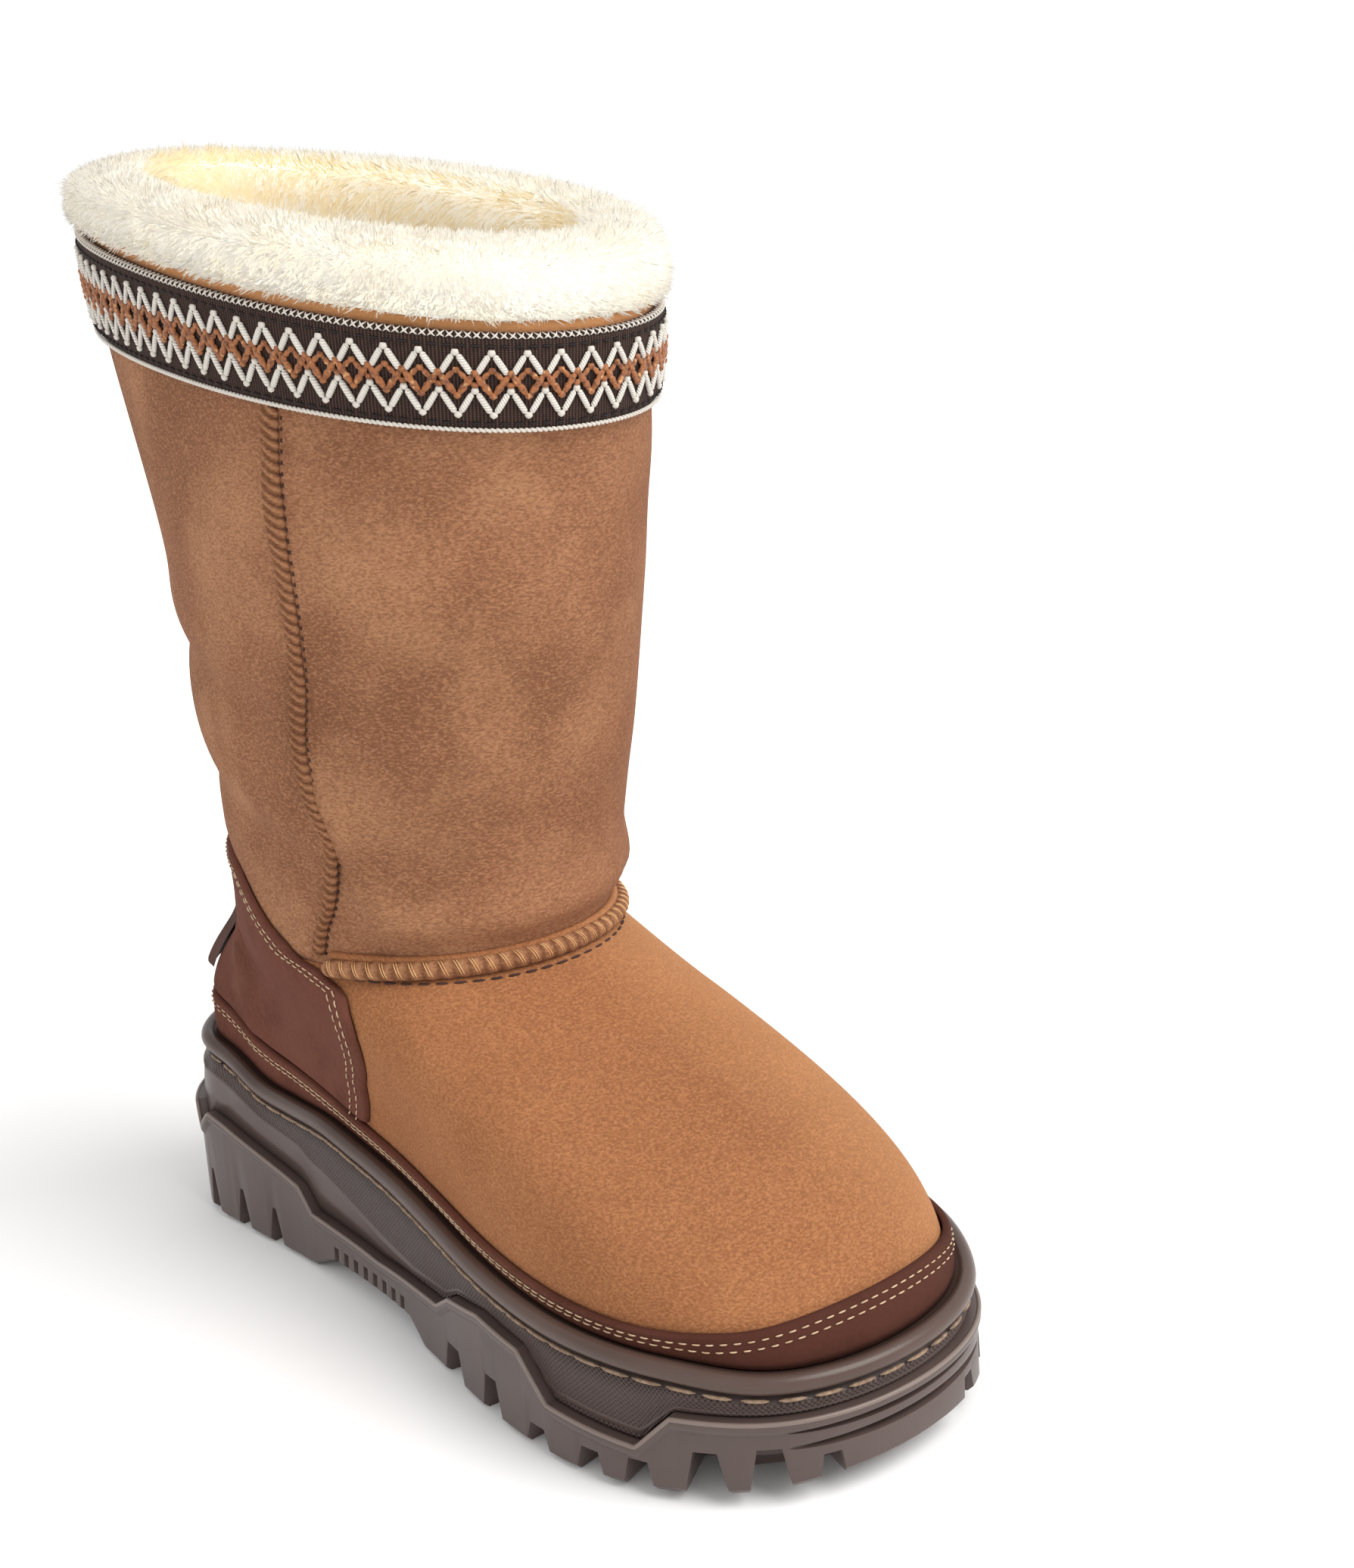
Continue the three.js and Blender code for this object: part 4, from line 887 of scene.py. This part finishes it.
def zigzag(name, low, high, phase, radius, look, out, knot, gap=0.06, bead=0.0, turns=2):
    """Row of short fat cords that lean to and fro round the band, with a knot over each turn."""
    steps = np.linspace(0, 1, 9)
    share = gap + (1 - 2 * gap) * steps
    swell = np.sin(np.pi * np.clip(steps, 0.02, 0.98)) ** 0.2
    strokes, knots = [], []
    for k in range(PITCH_COUNT):
        for start, lean in ((k - phase, share), (k - phase + 0.5, 1 - share)):
            turn = start + gap + (0.5 - 2 * gap) * steps
            strokes.append(band_point(turn, high + (low - high) * lean, out + 0.25 * swell))
        for at, edge in ((k - phase + 0.5, low), (k - phase, high))[:turns]:
            bent = 0.012 * np.array([1, 0, 0, 0, 1]) * np.sign(high - edge + 0.001)
            knots.append(band_point(at + np.linspace(-0.1, 0.1, 5), edge + bent, out + radius * 0.25))
    size = radius * (0.9 + 0.1 * np.sin(steps * np.pi)) * (1 + bead * np.cos(steps * TAU * 3))
    middle = np.mean(strokes, axis=(0, 1))

    def away(paths):
        return unit((np.array(paths) - middle) * (1, 1, 0))

    cords = tube(strokes, size[None], sides=8, flat=0.7, ups=away(strokes))
    ends = tube(knots, knot, sides=7, flat=0.9, ups=away(knots))
    uv = uv_grid((steps * 6)[:, None], np.abs(np.arange(8) - 4) * 0.5).reshape(-1, 2)
    uv = np.concatenate([np.tile(uv, (len(strokes), 1)), np.zeros((len(ends[0]), 2))])
    obj = new_object(name, *joined([cords, ends]), look, uv=uv)


zigzag("cord_upper", 0.2, 0.44, 0.0, 0.82, yarn_white, 0.3, 0.86, turns=1)
zigzag("cord_lower", 0.59, 0.84, 0.5, 0.82, yarn_white, 0.3, 0.86)
zigzag("chain_first", 0.41, 0.64, 0.5, 0.85, yarn_copper, 0.5, 0.86, 0.03, 0.22)
zigzag("chain_second", 0.38, 0.53, 0.0, 0.66, yarn_copper, 0.35, 0.78, 0.05, 0.22)


def edge_cord():
    """Twisted cord along the lower edge of the band, as a row of slanting turns."""
    lean = np.linspace(-1, 1, 5)
    turn = np.arange(PITCH_COUNT * 6)[:, None] / 6 + lean * 0.62 / 6
    points, faces = tube(band_point(turn, 1.0 + lean * 0.018, 0.15 * (1 - lean**2)), 0.45)
    obj = new_object("edge_lower", points, faces, yarn_white, uv=np.zeros((len(points), 2)))


edge_cord()


def picot():
    """Row of small crosses over the upper edge of the band."""
    down = np.linspace(-0.004, 0.052, 4)
    proud = np.array([-1.35, -0.35, 0.05, 0.1])
    paths = [band_point((k + 0.5 + np.linspace(-0.42, 0.42, 4) * lean) / 4, down, proud)
             for k in range(PITCH_COUNT * 4) for lean in (-1, 1)]
    points, faces = tube(paths, 0.24, sides=5)
    obj = new_object("edge_crosses", points, faces, yarn_white, uv=np.zeros((len(points), 2)))


picot()


def dashes(name, down, radius):
    """Row of dark stitches along the band."""
    turn = np.arange(PITCH_COUNT * 12) / 12
    normal = surface_normal(shaft_point, band_place(turn), band_level(down))
    row = stitches(band_point(turn, down, 0.0), normal, 3.4, 2.3, radius, 0.4, closed=True)
    obj = new_object(name, *row, yarn_black)


dashes("dashes_upper", 0.13, 0.28)
dashes("dashes_lower", 0.93, 0.3)


# Fleece

def fleece_rise(place, up):
    return up * (FLEECE_HEIGHT - FLEECE_FALL * np.cos(TAU * place))


def fleece_section(place, turn):
    """Point on the fleece roll at an angle of its section: 0 outside at the suede edge, 1 deep inside."""
    at = np.array([0, 0.08, 0.18, 0.3, 0.42, 0.54, 0.66, 0.76, 0.86, 1.0])
    out = np.array([-1.2, 1.3, 2.4, 1.2, -6.5, -15.5, -22.5, -25, -23, -14])
    up = np.array([0.02, -0.06, 0.32, 0.76, 1.0, 0.9, 0.5, 0.05, 0, 0])
    level = np.array([1, 1, 1, 1, 1, 1, 1, 0.985, 0.86, 0.7])
    table = np.stack([at, out, up, level], -1)
    level_at = stepped(table, 3, turn)
    p = off(shaft_point, place, level_at, curve(table, 1, turn))
    p[..., 2] += fleece_rise(place, curve(table, 2, turn)) - 1.4 * np.clip(turn * 4, 0, 1)
    return p


def fleece_lump(place, turn):
    """Unevenness of the roll under its pile."""
    field = 0
    rng = np.random.default_rng(11)
    for _ in range(14):
        a, b = rng.integers(3, 26), rng.uniform(2, 9)
        p, q = rng.uniform(0, TAU, 2)
        field = field + np.sin(TAU * a * place + p + np.sin(b * turn * 3 + q)) * np.cos(b * turn * 4 + q)
    return field / 5


def fleece_core(place):
    """Middle line of the fleece roll."""
    return off(shaft_point, place, 1.0, FLEECE_CORE) + np.array([0, 0, 2.0])


def build_fleece():
    place = np.arange(320)[:, None] / 320
    turn = np.linspace(0, 1, 64)[None]
    outer = fleece_section(place, turn)
    away = unit(outer - fleece_core(place))
    fade = np.clip(turn / 0.1, 0, 1) * np.clip((1 - turn) / 0.1, 0, 1)
    outer = outer + away * (fleece_lump(place, turn) * fade * 0.6 - 0.6)[..., None]
    back = off(shaft_point, place, np.linspace(0.7, 1, 8), -WALL - FIT_GAP)
    roll = ring_solid("fleece_roll", np.concatenate([outer, back], 1), pile_base)
    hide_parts("fleece_collar")


build_fleece()


def pile(name, count, low, high, length, look, seed, width):
    """Fine tapered fibres combed over the roll, between two angles of its section."""
    rng = np.random.default_rng(seed)
    place = rng.uniform(0, 1, count)
    turn = rng.uniform(low, high, count)
    root = fleece_section(place, turn)
    around = unit(fleece_section(place + 0.002, turn) - fleece_section(place - 0.002, turn))
    before, after = np.maximum(turn - 0.01, 0), np.minimum(turn + 0.01, 1)
    down = unit(fleece_section(place, after) - fleece_section(place, before))
    normal = unit(np.cross(around, down))
    normal *= np.sign((normal * (root - fleece_core(place))).sum(-1, keepdims=True))
    comb = (np.clip((turn - 0.42) / 0.3, -0.75, 1) * np.clip((turn - 0.12) / 0.12, -0.3, 1))[:, None]
    swirl = (np.sin(place * TAU * 23 + turn * 9) + np.sin(place * TAU * 41 + turn * 17 + 1.3)
             + np.sin(place * TAU * 71 - turn * 23 + 2.1))[:, None] * 0.13
    lean = down * comb * 0.95 + around * swirl + rng.normal(0, 0.13, (count, 3))
    direction = unit(normal * (0.62 + 0.3 * rng.uniform(0, 1, (count, 1))) + lean)
    size = length * rng.uniform(0.6, 1.1, count)[:, None]
    bend = rng.normal(0, 0.16, (count, 3)) + down * comb * 0.25
    side = np.cross(direction, normal) + rng.normal(0, 0.25, (count, 3))
    side = unit(side - direction * (side * direction).sum(-1, keepdims=True))
    side *= -np.sign((np.cross(direction, side) * normal).sum(-1, keepdims=True))
    w = side * width * rng.uniform(0.7, 1.3, count)[:, None]
    root = root - normal * 1.2
    one = root + direction * size * 0.5
    two = one + (direction + bend) * size * 0.3
    tip = two + (direction + bend * 2) * size * 0.2
    p = np.stack([root - w, root + w, one - w, one + w, two - w * 0.7, two + w * 0.7, tip], 1)
    base = np.arange(count)[:, None, None] * 7
    faces = [face for shape in ([(0, 1, 3, 2), (2, 3, 5, 4)], [(4, 5, 6)])
             for face in (np.array(shape) + base).reshape(-1, len(shape[0])).tolist()]
    along = np.broadcast_to(np.array([0, 0, 500, 500, 800, 800, 1000.0])[:, None], p.shape[:2] + (2,))
    obj = new_object(name, p, faces, look, uv=along)
    obj.visible_shadow = False
    obj.visible_diffuse = False
    soft = unit(np.repeat(normal + rng.normal(0, 0.02, (count, 3)), 7, axis=0))
    obj.data.normals_split_custom_set_from_vertices(soft.tolist())


pile("pile_outside", 27000, 0.08, 0.36, 3.6, pile_ivory, 1, 0.18)
pile("pile_crown", 29000, 0.28, 0.6, 3.0, pile_ivory, 2, 0.18)
pile("pile_inside", 22000, 0.56, 0.99, 5.0, pile_cream, 3, 0.21)


# Welt, midsole and outsole

SOLE_ROUND = np.arange(420) / 420


def build_welt():
    inner = UPPER_INSET + WALL - 2 * FIT_GAP
    bead, seat = 2.35, 2.6
    columns = [welt_point(SOLE_ROUND, inner, -FLANGE / 2)]
    for a in np.radians(np.linspace(-150, 150, 15)):
        columns.append(welt_point(SOLE_ROUND, seat - bead * math.cos(a), 0.3 + bead * math.sin(a)))
    columns.append(welt_point(SOLE_ROUND, inner, FLANGE / 2))
    obj = ring_solid("welt_bead", np.stack(columns, 1), bead_rubber)
    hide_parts("welt")
    path = sole_point(SOLE_ROUND, MIDSOLE_INSET + tuck_in(length_share(SOLE_ROUND)) - 0.15, 0)
    path[:, 2] = groove_height(own_share(path)) + 0.75
    normal = np.concatenate([outline_normal(SOLE_ROUND), np.full((len(SOLE_ROUND), 1), 0.4)], 1)
    row = stitches(path, normal, 8.6, 8.2, 0.5, 0.4, closed=True)
    thread = new_object("welt_stitches", *row, cord_brown)


build_welt()


def sole_rings(rings, places):
    """Rings of the sole, each with its inset and its height at the outline's share of the length
    and at the point's own share."""
    share = length_share(places)
    rows = []
    for inset, height in rings:
        p = sole_point(places, inset(share) if callable(inset) else inset, 0)
        p[:, 2] = height(share, own_share(p))
        rows.append(p)
    return np.stack(rows, 0)


def capped(name, rows, looks, indices=None, uv=None):
    """Closed solid through level rings, with its two ends filled by strips across."""
    count = rows.shape[1]
    faces = grid_faces(rows.shape[0], count, False).tolist()
    last = (rows.shape[0] - 1) * count
    for base in (0, last):
        for i in range(count // 2 - 1):
            far = count - 1 - i
            faces.append([base + i, base + far, base + far - 1, base + i + 1])
    if indices is not None:
        indices = list(indices) + [0] * (len(faces) - len(indices))
    return outward(new_object(name, rows, faces, looks, indices, uv))


def build_midsole():
    inner = TRAY_WALL + FIT_GAP

    def shelf(s, own):
        return lip_height(s) + 1.5 * FIT_GAP

    def edge(s, own):
        return shelf(s, own) + (groove_height(own) - shelf(s, own)) * curve(FACET, 1, s)

    def groove(s, own):
        return groove_height(own)

    def under(s):
        return BEAD_INSET + BEAD_RADIUS + FIT_GAP + tuck_in(s)

    def face(s):
        return MIDSOLE_INSET - FACET_PROUD * curve(FACET, 2, s) + 0.6 * tuck_in(s)

    def between(a, b, f):
        return lambda s, own: a(s, own) * (1 - f) + b(s, own) * f

    rings = [
        (inner, lambda s, own: TRAY_HEIGHT + FIT_GAP), (inner, shelf),
        (MIDSOLE_INSET + 0.2, shelf), (lambda s: (MIDSOLE_INSET + face(s)) / 2, between(shelf, edge, 0.5)),
        (lambda s: face(s) + 0.15, between(shelf, edge, 0.93)), (face, edge),
        (lambda s: face(s) + 0.35, between(edge, groove, 0.08)),
        (lambda s: face(s) * 0.4 + (MIDSOLE_INSET + tuck_in(s)) * 0.6, between(edge, groove, 0.6)),
        (lambda s: MIDSOLE_INSET + tuck_in(s), groove), (under, groove),
        (under, lambda s, own: bead_height(own) - FLANGE / 2 - FIT_GAP)]
    rows = sole_rings(rings, SOLE_ROUND)
    index = np.zeros((len(rings) - 1, len(SOLE_ROUND)), int)
    index[6:8] = 1
    index[2:5, length_share(SOLE_ROUND) > 0.5] = 1
    uv = uv_grid(run_of(rows[3]), rows[..., 2])
    obj = capped("midsole_wall", rows, (sole_rubber, knurl_rubber), index.ravel(), uv)
    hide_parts("midsole")


build_midsole()


def wedge_points(share, inner, root, mouth, rise, depth):
    """Corners of a wedge cut from the sole side."""
    place = place_at(share)
    place = 1 - place if inner else place
    out = np.append(outline_normal(place), 0)
    along = np.cross([0, 0, 1.0], out)
    base = sole_point(place, depth, tread_height(share))
    section = ((-mouth / 2, -rise), (mouth / 2, -rise), (root / 2, rise), (-root / 2, rise))
    return np.array([base + along * u + np.array([0, 0, v]) + out * w
                     for w in (0, depth + BEAD_RADIUS) for u, v in section])


def cutters():
    """Everything that is cut from the outsole, as solids: notches, arch ribs, toe grooves and tread."""
    box = [[3, 2, 1, 0], [4, 5, 6, 7], [0, 1, 5, 4], [1, 2, 6, 5], [2, 3, 7, 6], [3, 0, 4, 7]]
    wedges = []
    for share, root, mouth, rise in NOTCHES:
        depth = min(NOTCH_DEPTH, NOTCH_DEPTH * 0.45 + min(share, 1 - share) * SOLE_LENGTH * 0.35)
        narrow = root * NOTCH_DEPTH
        wide = narrow + (mouth * NOTCH_DEPTH - narrow) * 2
        wedges.append((share, narrow, wide, rise * NOTCH_DEPTH, depth))
    wedges += [(0.35 + 0.135 * k / 7, 2.4, 2.4, 5.5, 3.5) for k in range(8)]
    parts = [(wedge_points(share, inner, *sizes), box)
             for share, *sizes in wedges for inner in (False, True)]
    start = place_at(0.968)
    f = np.linspace(0, 1, 60)
    place = start + (1 - 2 * start) * f
    bow = np.sin(np.pi * f)
    half = 1.15 * (0.15 + 0.85 * np.sqrt(bow))
    deep = 4.6 * bow + 0.4
    for height in TOE_GROOVES:
        z = SOLE_HEIGHT * height
        loops = np.stack([sole_point(place, inset, z + half * up) for inset, up in (
            (-3.0, -1), (deep, -0.8), (deep, 0.8), (-3.0, 1))], 1)
        faces = grid_faces(60, 4, False).tolist() + [[3, 2, 1, 0], [236, 237, 238, 239]]
        parts.append((loops.reshape(-1, 3), faces))
    for low, high in ((0.12, 0.29), (0.56, 0.9)):
        gap = ((high - low) * SOLE_LENGTH - (TREAD_ROWS - 1) * TREAD_LUG) / TREAD_ROWS
        for i in range(TREAD_ROWS):
            y = (0.5 - low) * SOLE_LENGTH - i * (gap + TREAD_LUG) - gap / 2
            half_width = abs(outline(place_at(0.5 - y / SOLE_LENGTH))[0] + 26)
            top = tread_height(0.5 - y / SOLE_LENGTH) + 3.5
            corner = [(x * half_width, y + v * gap / 2, z) for z in (-top, top)
                      for x, v in ((-1, -1), (1, -1), (1, 1), (-1, 1))]
            parts.append((np.array(corner), box))
    return parts


def build_outsole():
    places = np.sort(np.concatenate([SOLE_ROUND, place_at(LIP[1:-1, 0]), 1 - place_at(LIP[1:-1, 0])]))
    places = places[np.concatenate([[True], np.diff(places) > 0.0004])]

    def under_lip(thicknesses):
        return lambda s, own: lip_height(s) - thicknesses * LIP_THICKNESS

    rings = [
        (TREAD_BEVEL, lambda s, own: tread_height(s)), (0, lambda s, own: tread_height(s) + TREAD_BEVEL),
        (0.4, under_lip(2)), (-0.35, under_lip(1.35)), (-0.6, under_lip(1)), (-0.55, under_lip(0.45)),
        (-0.15, under_lip(0.08)), (0.5, under_lip(0)), (TRAY_WALL, under_lip(0)),
        (TRAY_WALL, lambda s, own: TRAY_HEIGHT)]
    obj = capped("outsole_lugs", sole_rings(rings, places), sole_rubber)
    knife = outward(new_object("knife", *joined(cutters()), sole_rubber))
    cut = obj.modifiers.new("cut", "BOOLEAN")
    cut.operation = "DIFFERENCE"
    cut.solver = "EXACT"
    cut.use_self = True
    cut.object = knife
    bevel = obj.modifiers.new("bevel", "BEVEL")
    bevel.width = 0.0005
    bevel.segments = 2
    bevel.limit_method = "ANGLE"
    bevel.angle_limit = math.radians(42)
    bpy.context.view_layer.update()
    settled = bpy.data.meshes.new_from_object(obj.evaluated_get(bpy.context.evaluated_depsgraph_get()))
    obj.modifiers.clear()
    obj.data = settled
    bpy.data.objects.remove(knife)
    obj.data.polygons.foreach_set("use_smooth", [True] * len(obj.data.polygons))
    obj.data.set_sharp_from_angle(angle=math.radians(34))
    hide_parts("outsole")
    # Tube along the upper edge of the lip, lighter in colour as a painted highlight.
    rim = sole_rings([(-0.1, lambda s, own: lip_height(s) - 0.35)], places)
    edge = tube(rim, 0.62, sides=8, closed=True)
    edge = new_object("outsole_rim", *edge, rim_highlight_rubber)


build_outsole()

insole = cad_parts["insole"]
insole.data.materials.clear()
insole.data.materials.append(lining.material)


# Floor, light and camera

def floor():
    mesh = bpy.data.meshes.new("floor")
    corners = [(x, y, 0) for x, y in ((-6, -6), (6, -6), (6, 6), (-6, 6))]
    mesh.from_pydata(corners, [], [(0, 1, 2, 3)])
    look = Look("floor_pale", "ffffff", 0.9, Specular_IOR_Level=0.1)
    look.tint(look.noise(2.0), "fdfdfd", 0.4)
    mesh.materials.append(look.material)
    obj = placed("floor", mesh)


floor()

CAMERA_TURN, CAMERA_LIFT, CAMERA_ROLL = (math.radians(v) for v in (-39.9, 14.85, -4.4))
CAMERA_DISTANCE = 606.4
FOCAL_PIXELS = 2843
TARGET_RIGHT, TARGET_UP = 45.7, 135.1
FRAME_HEIGHT = 2072


def camera():
    back = Vector((math.sin(CAMERA_TURN) * math.cos(CAMERA_LIFT),
                   -math.cos(CAMERA_TURN) * math.cos(CAMERA_LIFT), math.sin(CAMERA_LIFT)))
    right = (-back).cross(Vector((0, 0, 1))).normalized()
    up = right.cross(-back)
    across = right * math.cos(CAMERA_ROLL) + up * math.sin(CAMERA_ROLL)
    upright = -right * math.sin(CAMERA_ROLL) + up * math.cos(CAMERA_ROLL)
    place = right * TARGET_RIGHT + up * TARGET_UP + back * CAMERA_DISTANCE + Vector(ORIGIN)
    data = bpy.data.cameras.new("camera")
    data.lens = FOCAL_PIXELS * 36 / FRAME_HEIGHT
    data.sensor_width = 36
    data.clip_start = 0.01
    obj = placed("camera", data)
    turn = Matrix((across, upright, back)).transposed()
    obj.matrix_world = Matrix.Translation(place / 1000) @ turn.to_4x4()
    bpy.context.scene.camera = obj


camera()


def sun(name, toward, strength, width, color=(1, 1, 1)):
    data = bpy.data.lights.new(name, "SUN")
    data.energy = strength
    data.angle = math.radians(width)
    data.color = color
    obj = placed(name, data)
    obj.rotation_euler = Vector(toward).to_track_quat("Z", "Y").to_euler()


sun("key", (0.45, -1.0, 1.2), 2.5, 45, (1, 0.99, 0.97))
sun("fill", (-1.2, -0.7, 0.7), 0.35, 70)

# Bright round the horizon and softer overhead
world = bpy.data.worlds.new("studio")
world.use_nodes = True
sky = world.node_tree
toward = add_node(sky, "ShaderNodeTexCoord", {})["Generated"]
level = add_node(sky, "ShaderNodeSeparateXYZ", {0: toward})["Z"]
glow = add_node(sky, "ShaderNodeMapRange", {
    "Value": level, "From Min": 0.16, "From Max": 0.6, "To Min": 1.0, "To Max": 0.72})["Result"]
sky.links.new(glow, sky.nodes["Background"].inputs["Strength"])
sky.nodes["Background"].inputs["Color"].default_value = (1, 1, 1, 1)
bpy.context.scene.world = world
bpy.context.scene.view_settings.view_transform = "Standard"
